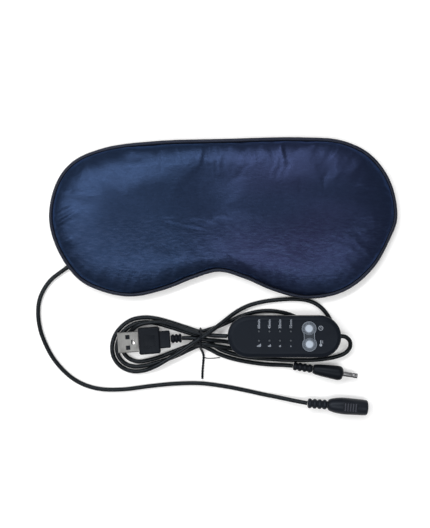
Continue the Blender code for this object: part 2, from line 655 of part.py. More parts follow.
def stadium(inset_by, steps=11):
    """The controller's outline in plan, drawn in by a distance."""
    radius = BOX_WIDTH / 2 - inset_by
    reach = (BOX_LENGTH - BOX_WIDTH) / 2
    points = []
    for sign, first in ((1, -90), (-1, 90)):
        for step in range(steps + 1):
            turn = math.radians(first + 180 * step / steps)
            points.append((BOX_CENTRE[0] + sign * reach + radius * math.cos(turn),
                           BOX_CENTRE[1] + radius * math.sin(turn)))
    return points


def shell_rings(levels):
    """Stadium rings at (height, inset) levels."""
    return [[(x, y, height) for x, y in stadium(inset_by)] for height, inset_by in levels]


def make_controller_shells():
    """The two halves of the housing, open inside, notched for the cords and drilled for the controls."""
    roof = BOX_TOP - BOX_WALL
    split = BOX_SPLIT + GAP
    top = lofted("controller_top", shell_rings([
        (roof, 3.0), (roof - 0.5, 1.8), (roof - 1.4, BOX_WALL), (split, BOX_WALL),
        (split, 0), (BOX_TOP - 2.2, 0), (BOX_TOP - 1.0, 0.4), (BOX_TOP - 0.35, 1.1), (BOX_TOP, 2.4)]),
        "black_plastic")
    bottom = lofted("controller_bottom", shell_rings([
        (BOX_BOTTOM + BOX_WALL, 2.2), (BOX_BOTTOM + 1.9, BOX_WALL), (BOX_SPLIT, BOX_WALL),
        (BOX_SPLIT, 0), (BOX_BOTTOM + 1.6, 0), (BOX_BOTTOM + 0.5, 0.5), (BOX_BOTTOM, 1.6)]),
        "black_plastic")
    for index, (across, along) in enumerate(((-20, -6.5), (-20, 6.5), (20, -6.5), (20, 6.5))):
        x, y = BOX_CENTRE[0] + across, BOX_CENTRE[1] + along
        stud = post(f"guide_stud_{index}", x, y, 1.2, BOX_BOTTOM + 0.6, PCB_Z - GAP, "black_plastic", sides=10)
        join(bottom, stud)
    for shell in (top, bottom):
        for end in (-1, 1):
            middle = BOX_CENTRE[0] + end * BOX_LENGTH / 2
            matrix = attitude((middle - 3, BOX_CENTRE[1], CORD_ENTRY_Z), 0)
            name = f"cutter_{shell.name}_cord_{end + 1}"
            cut(shell, turned(name, [(0, 1.55), (6, 1.55)], "black_plastic", matrix, sides=14))
    cut(top, prism("cutter_bezel_seat", dumbbell(BEZEL_RADIUS + GAP), BOX_TOP - 0.4, BOX_TOP + 2, "black_plastic"))
    for name, (x, y) in BUTTONS.items():
        hole = post(f"cutter_{name}_hole", x, y, BUTTON_RADIUS + GAP, roof - 2, BOX_TOP + 2, "black_plastic", 20)
        cut(top, hole)
    for row, y in LIGHT_ROWS.items():
        for index, x in enumerate(LIGHT_X):
            hole = post(f"cutter_{row}_light_{index}", x, y, 0.75, roof - 2, BOX_TOP + 2, "black_plastic", 8)
            cut(top, hole)


def dumbbell(radius, neck=1.9, steps=14):
    """Outline of two circles at the buttons, joined by a neck."""
    timer, heat = (Vector(BUTTONS[name]) for name in ("timer", "heat"))
    along = (timer - heat).normalized()
    lean = math.degrees(math.atan2(along.y, along.x))
    waist = math.degrees(math.asin((neck + radius - BEZEL_RADIUS) / radius))
    points = []
    for centre, facing in ((timer, lean), (heat, lean + 180)):
        for step in range(steps + 1):
            turn = math.radians(facing - 180 + waist + (360 - 2 * waist) * step / steps)
            points.append((centre.x + radius * math.cos(turn), centre.y + radius * math.sin(turn)))
    return points


def make_controls():
    """The bezel, the two buttons with their retaining flanges, and the switches under them."""
    bezel = prism("button_bezel", dumbbell(BEZEL_RADIUS), BOX_TOP - 0.1, BOX_TOP + 0.4, "silver_plastic")
    flange_top = BOX_TOP - BOX_WALL - GAP
    flange_low = flange_top - 0.7
    switch_z = PCB_Z + PCB_THICKNESS + GAP
    for name, (x, y) in BUTTONS.items():
        hole = post(f"cutter_bezel_{name}", x, y, BUTTON_RADIUS + GAP, BOX_TOP - 2, BOX_TOP + 2, "silver_plastic", 20)
        cut(bezel, hole)
        matrix = attitude((x, y, flange_low), 0, 90)
        rise = BOX_TOP + 0.8 - flange_low
        profile = [(0, 3.0), (0.7, 3.0), (0.7, BUTTON_RADIUS), (rise - 0.3, BUTTON_RADIUS), (rise, BUTTON_RADIUS - 0.4)]
        turned(f"button_{name}", profile, "white_plastic", matrix, sides=20)
        base = box(f"switch_{name}", (x - 2.2, y - 2.2, switch_z), (x + 2.2, y + 2.2, switch_z + 1.0), "soft_black")
        join(base, post(f"guide_plunger_{name}", x, y, 1.0, switch_z + 0.5, flange_low - 0.7, "soft_black", 10))


def make_electronics():
    """The board, its chip, the indicator lamps and the light guides above them."""
    x, y = BOX_CENTRE
    board_top = PCB_Z + PCB_THICKNESS
    box("controller_pcb", (x - 24.5, y - 8.8, PCB_Z), (x + 22, y + 8.8, board_top), "board")
    part_z = board_top + GAP
    box("controller_chip", (41.5, -71.5, part_z), (45.5, -66.5, part_z + 1.2), "soft_black")
    guide_top = BOX_TOP - BOX_WALL - GAP
    for row, row_y in LIGHT_ROWS.items():
        low = (LIGHT_X[0] - 1, row_y - 0.9, guide_top - 0.8)
        guide = box(f"light_guide_{row}", low, (LIGHT_X[-1] + 1, row_y + 0.9, guide_top), "white_plastic")
        for index, lamp_x in enumerate(LIGHT_X):
            pip = post(f"guide_{row}_pip_{index}", lamp_x, row_y, 0.45, guide_top - 0.4, BOX_TOP + 0.05,
                       "white_plastic", 8)
            join(guide, pip)
            lamp_low = (lamp_x - 0.8, row_y - 0.5, part_z)
            box(f"led_{row}_{index + 1}", lamp_low, (lamp_x + 0.8, row_y + 0.5, part_z + 0.7), "white_plastic")


def make_grommets():
    """A flanged bush holds each cord in the end of the housing."""
    reach = BOX_LENGTH / 2
    profile = [(0, CORD_RADIUS), (1.85, CORD_RADIUS), (1.85, 2.3), (3.4, 2.3)]
    for name, end, heading in (("input_grommet", -1, 0), ("output_grommet", 1, 180)):
        middle = (BOX_CENTRE[0] + end * reach, BOX_CENTRE[1], CORD_ENTRY_Z)
        turned(name, profile, "soft_black", attitude(middle, heading), sides=14)


def make_twist_tie():
    """A coated wire round the bundle, its twisted tail on the table and one thin end beside it."""
    ring = [Vector((TIE_X, point.x, point.y)) for point in spline(TIE_LOOP, closed=True, steps=2)]
    tie = pipe("twist_tie", ring, 0.45, "soft_black", cyclic=True)
    tail = pipe("guide_tie_tail", spaced(spline(TIE_TAIL, closed=False), 9), 0.6, "soft_black")
    join(tie, tail)
    thin = pipe("guide_tie_thin_tail", spaced(spline(TIE_THIN_TAIL, closed=False), 7), 0.3, "soft_black", sides=6)
    join(tie, thin)


def hold_under(name, place, prefixes):
    """Parents the pieces whose names start with a prefix to an empty that stands for their body."""
    empty = bpy.data.objects.new(name, None)
    empty.location = Vector(place) * MM
    bpy.context.scene.collection.objects.link(empty)
    bpy.context.view_layer.update()
    for piece in list(bpy.context.scene.collection.objects):
        if piece is not empty and piece.name.startswith(prefixes):
            kept = piece.matrix_world.copy()
            piece.parent = empty
            piece.matrix_world = kept


def main():
    for old in list(bpy.data.objects):
        bpy.data.objects.remove(old, do_unlink=True)
    make_mask()
    make_mask_wiring()
    make_strap()
    cord("mask_cord", MASK_CORD_ROUTE, CORD_RADIUS, 44, "soft_black")
    make_jack()
    make_usb()
    cord("usb_cord", USB_CORD_ROUTE, CORD_RADIUS, 84, "soft_black")
    make_controller_shells()
    make_controls()
    make_electronics()
    make_grommets()
    cord("output_cord", OUTPUT_CORD_ROUTE, CORD_RADIUS, 56, "soft_black")
    make_plug()
    make_twist_tie()
    lead = ("usb_", "controller_", "switch_", "light_guide_", "led_", "input_", "output_", "dc_plug_", "twist_tie")
    hold_under("control_lead_body", (*BOX_CENTRE, BOX_BOTTOM), lead)


main()
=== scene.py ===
"""Detailed looks for the heated eye mask and its USB controller lead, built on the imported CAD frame."""

import json
import math

import bmesh
import bpy
import numpy as np
from mathutils import Matrix, Vector, noise


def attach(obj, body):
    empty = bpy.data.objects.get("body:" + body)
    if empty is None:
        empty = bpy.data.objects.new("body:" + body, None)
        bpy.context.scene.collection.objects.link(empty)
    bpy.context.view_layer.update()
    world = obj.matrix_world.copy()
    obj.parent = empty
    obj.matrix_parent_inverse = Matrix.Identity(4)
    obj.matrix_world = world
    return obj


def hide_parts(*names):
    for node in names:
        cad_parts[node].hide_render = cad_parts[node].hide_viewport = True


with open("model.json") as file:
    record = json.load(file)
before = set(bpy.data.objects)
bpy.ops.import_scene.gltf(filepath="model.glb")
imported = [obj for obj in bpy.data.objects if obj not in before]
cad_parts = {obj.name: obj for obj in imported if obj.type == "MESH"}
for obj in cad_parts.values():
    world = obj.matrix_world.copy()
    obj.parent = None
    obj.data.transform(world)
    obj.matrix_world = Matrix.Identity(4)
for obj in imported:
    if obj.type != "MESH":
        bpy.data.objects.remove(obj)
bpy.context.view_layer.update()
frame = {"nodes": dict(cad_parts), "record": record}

MM = 0.001

# Mask outline and heights, as in the CAD, in millimetres
UPPER_EDGE = [(102.0, 0), (97.9, 21.5), (86, 37.4), (69.4, 45.4), (46, 47.3), (0, 46.4),
              (-40, 45.1), (-70, 41.2), (-88.8, 33.2), (-98.6, 20.8), (-103.0, 0)]
LOWER_EDGE = [(-98.0, -19), (-85.4, -36.6), (-70.2, -44), (-54, -46.5), (-34, -42.2), (-18, -36),
              (-3, -32), (12, -36), (29, -43.2), (49, -47.8), (70.6, -43.6), (87.6, -30.2), (98, -12)]
MASK_TOP = 15.0
BRIDGE_SAG = 2.2
BRIDGE_HALF_WIDTH = 26.0
SPINE_HALF_LENGTH = 52.0
SPINE_PULL = 0.62  # share of a seam point's X where its line meets the middle line
BEAD_RADIUS = 1.25
SEAM_Z = 5.2
FRONT_EDGE_Z = 5.55
BACK_EDGE_Z = 4.75
COVER_INSET = 2.3
CLOTH_THICKNESS = 0.4
STRAP_WIDTH = 20.0
STRAP_THICKNESS = 0.8
STRAP_PITCH = 1.1
STRAP_LIFT = 3.3
FRONT_COUNT = 420  # points round the front cover's seam
SATIN_CLOTH = {
    "vertex_group_mass": "seam", "quality": 5, "mass": 0.12, "tension_stiffness": 12,
    "compression_stiffness": 12, "shear_stiffness": 4, "bending_stiffness": 0.02,
    "shrink_min": -0.015, "use_pressure": True, "uniform_pressure_force": 4.0,
}
SETTLING_FRAMES = 20
FOLD_REACH = 9  # grid steps over which a move counts as wide shape, not as a fold
FOLD_LIMIT = 0.45 * MM
CALM_RADIUS = 9.0  # folds fade out this near to the middle line's ends
FOLD_SHARE = 0.36
CREASE_SHARE = 0.75
DENT_LIMIT = 0.4

# Cord routes, as in the CAD. A point with two values lies at FLOOR_Z.
CORD_RADIUS = 1.25
CORD_POINT_PITCH = 1.1
FLOOR_Z = 1.35
TIE_X = -13.8
LOW_Z = 2.45
HIGH_Z = 4.88
TOP_Z = 7.45
MASK_CORD_ROUTE = [
    (-84.4, -25.4, 3.7), (-86.3, -25.7, 3.4), (-89.0, -27.0, 2.4), (-92.6, -29.2, 1.5), (-96.4, -31.9),
    (-102.3, -36.5), (-106.7, -42.4), (-109.4, -49), (-110.1, -57), (-108.8, -66.2), (-106, -74),
    (-101.6, -82.4), (-96, -89.4), (-89.4, -95.2), (-82, -99.1), (-73, -101.4), (-60, -101.6),
    (-43.5, -99.6), (-28.8, -98.2), (-14, -98), (0, -99.7), (12, -102), (22, -104.2, 1.5),
    (32, -106.1, 2.4), (41, -107.8, 3.9), (49.0, -109.17, 4.93),
]
USB_CORD_ROUTE = [
    (-24.7, -71.0, 3.18), (-19.5, -71.0, 3.75), (TIE_X, -71.4, HIGH_Z), (-9, -72.1, 4.5),
    (-4, -72.6, 3.0), (1, -73.2, 1.6), (6, -74.3), (14, -76.2), (24, -77.3), (34, -76.7), (42.5, -74.4),
    (48, -71), (49.6, -66.3), (46.6, -61.4), (40.5, -57.8), (34, -55.9), (27.5, -55.1), (20.3, -55.5),
    (13, -57.2), (6, -60.1), (0.6, -62.6), (-4.6, -64.7, 1.5), (-9.3, -66.2, 1.9), (TIE_X, -67.2, LOW_Z),
    (-22, -64.9, 1.6), (-31.3, -61.9), (-39, -59.8), (-46.5, -58.9), (-54.3, -60.2), (-60.5, -64.2),
    (-64.7, -69.9), (-66.3, -76.3), (-65.2, -82.7), (-61.2, -87.9), (-54.5, -90.8), (-47.5, -90.4, 1.6),
    (-40.5, -87.7, 3.4), (-34.5, -84.2, 4.4), (-29, -80.8, 5.3), (-24, -77.5, 6.2), (-19, -74.0, 7.1),
    (TIE_X, -70.7, TOP_Z), (-9.3, -67.7, 7.6), (-4.5, -64.3, 6.4), (0.6, -60.5, 4.4), (5, -57.2, 2.7),
    (9.6, -54.3, 1.7), (15.3, -51.7), (21.5, -50.0), (29, -48.8), (38, -48.1), (46, -48.3), (52, -49.7),
    (57, -52.6), (61, -57), (63.7, -62.2), (65, -67.4), (63.8, -72.4), (60, -76), (54, -78.2),
    (45, -79.8), (34, -80.6), (24, -80.5), (15, -79.4), (9, -78.3), (4.2, -77.2, 1.7), (-1, -76.2, 3.3),
    (-6.5, -75.2, 4.6), (TIE_X, -74.2, HIGH_Z), (-19, -75.0, 3.6), (-24.5, -77.0, 1.9), (-30, -79.2),
    (-37, -82.0), (-44.5, -84.2), (-51.5, -85.0), (-57.4, -82.4), (-60.3, -76.8), (-58.8, -71.6),
    (-55.5, -67.6, 1.4), (-53.0, -65.3, 2.7), (-50.3, -63.3, 3.8), (-45.5, -62.0, 4.05),
    (-37, -61.8, 3.95), (-29, -63.9, 3.9), (-21, -66.6, 4.4), (TIE_X, -68.6, HIGH_Z), (-9, -69.0, 4.8),
    (-4, -69.4, 5.8), (1.8, -69.5, 7.25),
]
OUTPUT_CORD_ROUTE = [
    (68.4, -69.5, 7.25), (71.0, -69.9, 7.1), (73.7, -72.3, 6.3), (74.1, -76.2, 5.0), (71.6, -79.7, 3.6),
    (67.0, -81.9, 2.4), (61.5, -83.2, 1.6), (54, -84.1), (45, -84.2), (36, -84.1), (27, -83.6),
    (18, -82.9), (10, -81.6), (3.5, -79.9), (-2, -77.8), (-6, -75.2), (-9.5, -72.5, 1.8),
    (TIE_X, -70.1, LOW_Z), (-18, -69.0, 2.1), (-23, -67.4, 1.6), (-32, -64.7), (-39.5, -62.6),
    (-46.4, -61.75), (-53.3, -63), (-58.5, -66.4), (-62, -71.3), (-63.4, -76.6), (-62.3, -82.0),
    (-58.9, -86.0), (-53.6, -88.0), (-47.3, -87.6), (-41, -86.0), (-34.3, -84.0), (-27, -81.2),
    (-20.4, -78.0, 1.6), (TIE_X, -75.6, LOW_Z), (-8.5, -77.7, 1.9), (-3, -80.6, 1.5), (3.5, -82.9),
    (10, -84.5), (18, -85.9), (27, -86.9), (34.5, -87.1, 1.9), (40.7, -87.45, 2.83),
]
TIE_LOOP = [
    (-67.2, 0.55), (-71.4, 0.55), (-75.6, 0.55), (-77.1, 1.3), (-77.55, 2.6), (-77.0, 4.2),
    (-75.9, 6.0), (-73.6, 7.7), (-71.6, 9.1), (-70.0, 9.15), (-68.5, 8.2), (-66.9, 6.2),
    (-65.6, 4.2), (-65.25, 2.5), (-65.7, 1.2),
]
TIE_TAIL = [(-13.8, -77.3, 2.2), (-12.9, -78.9, 1.5), (-12.1, -81.4, 0.8), (-12.3, -86, 0.7),
            (-12.7, -91, 0.7), (-12.8, -95.3, 0.7)]
STRAND_RADIUS = 0.42
STRAND_OFFSET = 0.36
STRAND_TWIST = 0.42  # radians from one point of the tail to the next
TIE_THIN_TAIL = [(-12.1, -82.2, 0.7), (-10.6, -83.1, 0.5), (-6.5, -83.2, 0.45), (-2.4, -82.9, 0.45)]

# Controller and connectors, as in the CAD
BOX_CENTRE = (35.1, -69.5)
BOX_LENGTH = 66.0
BOX_WIDTH = 24.3
BOX_TOP = 13.4
BEZEL_RISE = 0.38
BUTTONS = {"timer": (49.1, -64.7), "heat": (49.4, -73.7)}
BUTTON_RADIUS = 2.3
LIGHT_X = (20.1, 26.2, 32.3, 38.6)
LIGHT_ROWS = {"timer": -66.3, "heat": -71.7}
PIP_RADIUS = 0.5
CORD_ENTRY_Z = 7.25
CORD_HOLE_RADIUS = 1.55
USB_PLACE = ((-25.0, -71.0, 3.2), 184.0, 4.6)
PLUG_PLACE = ((41.0, -87.5, 2.85), -8.6, 3.3)
JACK_PLACE = ((49.3, -109.2, 4.95), -4.4, 0.0)

# Camera, straight above
CAMERA_AT = (-5.3, -27.3, 505.0)
FRAME_HEIGHT = 310.5  # height of the view at the seam's level


# --- shapes

def placed(name, data):
    """A new object of the data, in the scene."""
    made = bpy.data.objects.new(name, data)
    bpy.context.scene.collection.objects.link(made)
    return made


def link(name, data, finish, body, slot, *nodes):
    """Puts a piece in the scene with its look, riding on its body, in place of CAD nodes."""
    piece = placed(name, data)
    data.materials.clear()
    data.materials.append(LOOKS[finish])
    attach(piece, body)
    if nodes:
        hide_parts(*nodes)
    return piece


def smoothed(mesh, angle=40):
    """The mesh shaded smooth, except at edges sharper than the angle."""
    mesh.shade_smooth()
    mesh.set_sharp_from_angle(angle=math.radians(angle))
    return mesh


def mesh_of(name, points, faces, smooth_angle=40):
    """A mesh from millimetre points, faces turned outwards."""
    shape = bmesh.new()
    corners = [shape.verts.new(Vector(point) * MM) for point in points]
    for face in faces:
        shape.faces.new([corners[index] for index in face])
    bmesh.ops.recalc_face_normals(shape, faces=shape.faces)
    mesh = bpy.data.meshes.new(name)
    shape.to_mesh(mesh)
    shape.free()
    return smoothed(mesh, smooth_angle)


def bands(ring_count, ring_size, closed=False):
    """Faces between rings of equal size."""
    faces = []
    for band in range(ring_count if closed else ring_count - 1):
        low, high = band * ring_size, (band + 1) % ring_count * ring_size
        for index in range(ring_size):
            after = (index + 1) % ring_size
            faces.append((low + index, low + after, high + after, high + index))
    return faces


def lofted(name, rings, closed=False, smooth_angle=40):
    """Skin over rings, capped at both ends or closed back on itself."""
    size = len(rings[0])
    faces = bands(len(rings), size, closed)
    if not closed:
        faces.append(tuple(range(size)))
        faces.append(tuple(range((len(rings) - 1) * size, len(rings) * size)))
    return mesh_of(name, [point for ring in rings for point in ring], faces, smooth_angle)


def circle(radius, sides, x=0.0, y=0.0):
    turns = [2 * math.pi * side / sides for side in range(sides)]
    return [(x + radius * math.cos(turn), y + radius * math.sin(turn)) for turn in turns]


def arc(x, y, radius, first, last, steps=10):
    turns = [math.radians(first + (last - first) * step / steps) for step in range(steps + 1)]
    return [(x + radius * math.cos(turn), y + radius * math.sin(turn)) for turn in turns]


def turned(name, profile, sides=48, closed=False):
    """A profile of (along, radius) turned about the local X axis."""
    rings = [[(along, y, z) for y, z in circle(radius, sides)] for along, radius in profile]
    return lofted(name, rings, closed)


def transformed(mesh, matrix):
    mesh.transform(matrix)
    return mesh


def attitude(place):
    """The matrix that puts a connector's local X axis at a heading in plan and a pitch above it."""
    end, heading, pitch = place
    turn = Matrix.Rotation(math.radians(heading), 4, "Z")
    tilt = Matrix.Rotation(math.radians(-pitch), 4, "Y")
    return Matrix.Translation(Vector(end) * MM) @ turn @ tilt


def block(name, low, high, bevel=0.0, segments=3):
    """A block between two corners with rounded edges."""
    outline = [(low[0], low[1]), (high[0], low[1]), (high[0], high[1]), (low[0], high[1])]
    mesh = prism(name, outline, low[2], high[2])
    if bevel:
        shape = bmesh.new()
        shape.from_mesh(mesh)
        bmesh.ops.bevel(shape, geom=shape.edges[:], offset=bevel * MM, segments=segments,
                        profile=0.6, affect="EDGES")
        shape.to_mesh(mesh)
        shape.free()
        smoothed(mesh)
    return mesh


def evaluated(holder):
    """A new mesh of what an object looks like."""
    bpy.context.view_layer.update()
    return bpy.data.meshes.new_from_object(holder.evaluated_get(bpy.context.evaluated_depsgraph_get()))


def carved(name, mesh, cutters):
    """The mesh with the cutter meshes taken out of it."""
    body = placed(name, mesh)
    tools = [placed(f"{name}_tool_{index}", cutter) for index, cutter in enumerate(cutters)]
    for tool in tools:
        difference = body.modifiers.new("cut", "BOOLEAN")
        difference.object = tool
        difference.solver = "EXACT"
    result = evaluated(body)
    for used in [body, *tools]:
        bpy.data.objects.remove(used)
    return smoothed(result, 35)


def merged(name, meshes):
    """Several meshes as one."""
    shape = bmesh.new()
    for mesh in meshes:
        shape.from_mesh(mesh)
    joined = bpy.data.meshes.new(name)
    shape.to_mesh(joined)
    shape.free()
    return smoothed(joined)


def prism(name, outline, low, high):
    """A straight block between two heights over an outline in plan."""
    return lofted(name, [[(x, y, z) for x, y in outline] for z in (low, high)])


def post(name, x, y, radius, low, high, sides=40):
    return prism(name, circle(radius, sides, x, y), low, high)


def bead(name, path, height, radius, sides, smooth_angle=40):
    """A round bead along a closed path in plan; radius is a function of the point."""
    rings = []
    for index, point in enumerate(path):
        ahead = (path[(index + 1) % len(path)] - path[index - 1]).normalized()
        out = Vector((ahead.y, -ahead.x, 0))
        base = point + Vector((0, 0, height))
        around = [away * out + Vector((0, 0, rise)) for away, rise in circle(1, sides)]
        rings.append([base + radius(point) * away for away in around])
    return lofted(name, rings, closed=True, smooth_angle=smooth_angle)


def spline(points, closed=False, steps=12):
    """A centripetal Catmull-Rom curve through the points, densely sampled."""
    route = [Vector((*point, 0)[:3]) for point in points]
    if closed:
        route = [route[-1], *route, route[0], route[1]]
    else:
        route = [2 * route[0] - route[1], *route, 2 * route[-1] - route[-2]]
    curve = []
    for a, b, c, d in zip(route, route[1:], route[2:], route[3:]):
        t1 = (b - a).length ** 0.5
        t2 = t1 + (c - b).length ** 0.5
        t3 = t2 + (d - c).length ** 0.5
        for step in range(steps):
            t = t1 + (t2 - t1) * step / steps
            ab = a.lerp(b, t / t1)
            bc = b.lerp(c, (t - t1) / (t2 - t1))
            cd = c.lerp(d, (t - t2) / (t3 - t2))
            abc = ab.lerp(bc, t / t2)
            bcd = bc.lerp(cd, (t - t1) / (t3 - t1))
            curve.append(abc.lerp(bcd, (t - t1) / (t2 - t1)))
    if not closed:
        curve.append(route[-2])
    return curve


def run_length(line):
    return sum((after - before).length for before, after in zip(line, line[1:]))


def spaced(curve, count):
    """Count points at even spacing along a sampled curve."""
    marks = [0.0]
    for before, after in zip(curve, curve[1:]):
        marks.append(marks[-1] + (after - before).length)
    picked = []
    index = 0
    for step in range(count):
        mark = marks[-1] * step / (count - 1)
        while index < len(marks) - 2 and marks[index + 1] < mark:
            index += 1
        share = (mark - marks[index]) / (marks[index + 1] - marks[index])
        picked.append(curve[index].lerp(curve[index + 1], share))
    return picked


def tube(name, points, radius, finish, *nodes, body="control_lead", cyclic=False, resolution=3):
    """A round tube along points, as a bevelled curve."""
    data = bpy.data.curves.new(name, "CURVE")
    data.dimensions = "3D"
    data.bevel_depth = radius * MM
    data.bevel_resolution = resolution
    data.use_fill_caps = True
    run = data.splines.new("POLY")
    run.points.add(len(points) - 1)
    run.use_cyclic_u = cyclic
    run.use_smooth = True
    for place, point in zip(run.points, points):
        place.co = (*(point * MM), 1)
    return link(name, data, finish, body, "cord_black", *nodes)


# --- materials

class Look:
    """A Principled material with a few procedural helpers."""

    def __init__(self, name, colour, roughness, **sockets):
        self.material = bpy.data.materials.new(name)
        self.material.use_nodes = True
        self.tree = self.material.node_tree
        self.shader = self.tree.nodes["Principled BSDF"]
        self.shader.inputs["Base Color"].default_value = (*colour, 1)
        self.shader.inputs["Roughness"].default_value = roughness
        for socket, value in sockets.items():
            self.shader.inputs[socket.replace("_", " ")].default_value = value

    def node(self, kind, **settings):
        made = self.tree.nodes.new(kind)
        for key, value in settings.items():
            setattr(made, key, value)
        return made

    def place(self, scale=(1, 1, 1), turn=0.0, shift=(0, 0, 0)):
        """Object coordinates, stretched (along all axes, for a single number), turned and shifted."""
        coordinates = self.node("ShaderNodeTexCoord")
        mapping = self.node("ShaderNodeMapping")
        mapping.inputs["Location"].default_value = shift
        mapping.inputs["Scale"].default_value = scale if isinstance(scale, tuple) else (scale,) * 3
        mapping.inputs["Rotation"].default_value = (0, 0, turn)
        self.tree.links.new(coordinates.outputs["Object"], mapping.inputs["Vector"])
        return mapping.outputs["Vector"]

    def noise(self, scale, detail=2.0, turn=0.0):
        """Noise with a scale per metre along each axis."""
        texture = self.node("ShaderNodeTexNoise")
        texture.inputs["Scale"].default_value = 1.0
        texture.inputs["Detail"].default_value = detail
        self.tree.links.new(self.place(scale, turn), texture.inputs["Vector"])
        return texture.outputs["Fac"]

    def wave(self, scale, axis="X", distortion=0.0):
        texture = self.node("ShaderNodeTexWave", bands_direction=axis)
        texture.inputs["Scale"].default_value = 1.0
        texture.inputs["Distortion"].default_value = distortion
        self.tree.links.new(self.place(scale), texture.inputs["Vector"])
        return texture.outputs["Fac"]

    def ramp(self, value, low, high, start=0.3, end=0.7, blend="LINEAR"):
        """Maps a range, by default a texture's middle one, to two numbers."""
        ramp = self.node("ShaderNodeMapRange", interpolation_type=blend)
        for socket, bound in (("From Min", start), ("From Max", end), ("To Min", low), ("To Max", high)):
            ramp.inputs[socket].default_value = bound
        self.tree.links.new(value, ramp.inputs["Value"])
        return ramp.outputs["Result"]

    def mix(self, share, first, second):
        """A mix of two colours by a share."""
        blend = self.node("ShaderNodeMix", data_type="RGBA")
        for socket, colour in (("A", first), ("B", second)):
            target = [found for found in blend.inputs if found.name == socket and found.type == "RGBA"][0]
            if isinstance(colour, tuple):
                target.default_value = (*colour, 1)
            else:
                self.tree.links.new(colour, target)
        self.tree.links.new(share, blend.inputs["Factor"])
        return [found for found in blend.outputs if found.type == "RGBA"][0]

    def blob(self, centre, size):
        """A soft spot around a point, 1 in the middle and 0 outside."""
        spot = self.node("ShaderNodeTexGradient", gradient_type="SPHERICAL")
        around = self.place(1 / size, shift=[-along / size for along in centre])
        self.tree.links.new(around, spot.inputs["Vector"])
        return spot.outputs["Fac"]

    def level(self, axis, start, end, low, high):
        """A blend from one value to another along an object axis."""
        split = self.node("ShaderNodeSeparateXYZ")
        self.tree.links.new(self.place(), split.inputs["Vector"])
        return self.ramp(split.outputs[axis], low, high, start, end, "SMOOTHSTEP")

    def combine(self, first, second, operation="ADD"):
        combined = self.node("ShaderNodeMath", operation=operation)
        for index, value in enumerate((first, second)):
            if isinstance(value, (int, float)):
                combined.inputs[index].default_value = value
            else:
                self.tree.links.new(value, combined.inputs[index])
        return combined.outputs["Value"]

    def bump(self, height, strength, distance):
        bump = self.node("ShaderNodeBump")
        bump.inputs["Strength"].default_value = strength
        bump.inputs["Distance"].default_value = distance * MM
        self.tree.links.new(height, bump.inputs["Height"])
        self.tree.links.new(bump.outputs["Normal"], self.shader.inputs["Normal"])

    def feed(self, socket, value):
        self.tree.links.new(value, self.shader.inputs[socket])


def satin():
    """Navy satin: a coloured sheen, fine weft across the mask, painted sheen speckles on the lower half,
    crinkles and a little hue drift.
    """
    look = Look("satin", (0.03, 0.05, 0.11), 0.38, Metallic=0.75, Specular_IOR_Level=0.3,
                Specular_Tint=(0.25, 0.45, 0.9, 1))
    patches = look.ramp(look.noise((14, 22, 10), 1.0), 0.2, 1.2)
    drift = look.combine(look.blob((0.042, 0.002, 0.01), 0.075), patches, "MULTIPLY")
    base = look.mix(drift, (0.0140, 0.0250, 0.056), (0.0195, 0.0185, 0.050))
    # Lower-half mask: it limits the painted sheen speckles and the crinkle bump to the lit lower band.
    lower = look.level("Y", 0.006, -0.010, 0.25, 1.0)
    # Light speckles on the lower half only: painted sheen, not slubs in the thread.
    sheen_speckles = look.combine(look.ramp(look.noise((260, 950, 260), 3.0), -0.5, 0.8), lower, "MULTIPLY")
    threads_and_sheen = look.combine(look.ramp(look.noise((420, 5200, 420), 3.0), 0.0, 0.25), sheen_speckles)
    threads_and_sheen.node.use_clamp = True
    # The lighter navy mixed in here is a painted sheen colour, laid over the real weft threads and the
    # painted speckles.
    look.feed("Base Color", look.mix(look.combine(threads_and_sheen, 0.42, "MULTIPLY"), base, (0.034, 0.051, 0.106)))
    grain = look.noise((350, 4200, 350), 2.0)
    crinkle = look.combine(look.noise((300, 560, 300), 5.0, turn=0.3), lower, "MULTIPLY")
    look.bump(look.combine(look.combine(grain, 0.25, "MULTIPLY"), crinkle), 0.4, 0.45)
    look.feed("Roughness", look.ramp(look.noise(900), 0.31, 0.40))
    return look.material


def lining():
    """Matt dark lining in a plain weave."""
    look = Look("lining", (0.02, 0.026, 0.045), 0.85, Sheen_Weight=0.1)
    weave = look.combine(look.wave((900, 0, 0), "X"), look.wave((0, 900, 0), "Y"), "MULTIPLY")
    look.feed("Base Color", look.mix(weave, (0.014, 0.018, 0.033), (0.03, 0.037, 0.062)))
    look.bump(weave, 0.5, 0.12)
    return look.material


def piping():
    """Black satin cut on the bias over a cord."""
    look = Look("piping", (0.008, 0.009, 0.014), 0.38, Specular_IOR_Level=0.25,
                Specular_Tint=(0.6, 0.7, 1, 1))
    bias = look.wave(420, "DIAGONAL", 1.5)
    look.feed("Base Color", look.mix(bias, (0.006, 0.007, 0.011), (0.013, 0.015, 0.024)))
    look.bump(look.combine(bias, look.noise(800, 3.0)), 0.25, 0.12)
    return look.material


def elastic():
    """Ribbed black elastic, ribs along its length."""
    look = Look("elastic", (0.012, 0.013, 0.018), 0.8, Sheen_Weight=0.15)
    ribs = look.wave((0, 420, 0), "Y")
    knit = look.wave((1300, 0, 0), "X", 0.5)
    texture = look.combine(ribs, look.combine(knit, 0.4, "MULTIPLY"))
    look.feed("Base Color", look.mix(ribs, (0.008, 0.009, 0.013), (0.022, 0.024, 0.032)))
    look.bump(texture, 0.6, 0.25)
    return look.material


def soft_plastic(name, colour, roughness, grain=2400, depth=0.25, light=1.5, gloss=0.3):
    """Moulded or extruded plastic: fine texture and uneven gloss."""
    look = Look(name, colour, roughness, Specular_IOR_Level=gloss, Specular_Tint=(0.78, 0.88, 1, 1))
    tone = look.ramp(look.noise(60, 3.0), 0.0, 1.0)
    brighter = tuple(min(1.0, channel * light) for channel in colour)
    look.feed("Base Color", look.mix(tone, colour, brighter))
    look.feed("Roughness", look.ramp(look.noise(150, 4.0), roughness * 0.85, roughness * 1.2))
    look.bump(look.noise(grain, 2.0), depth, 0.05)
    return look.material


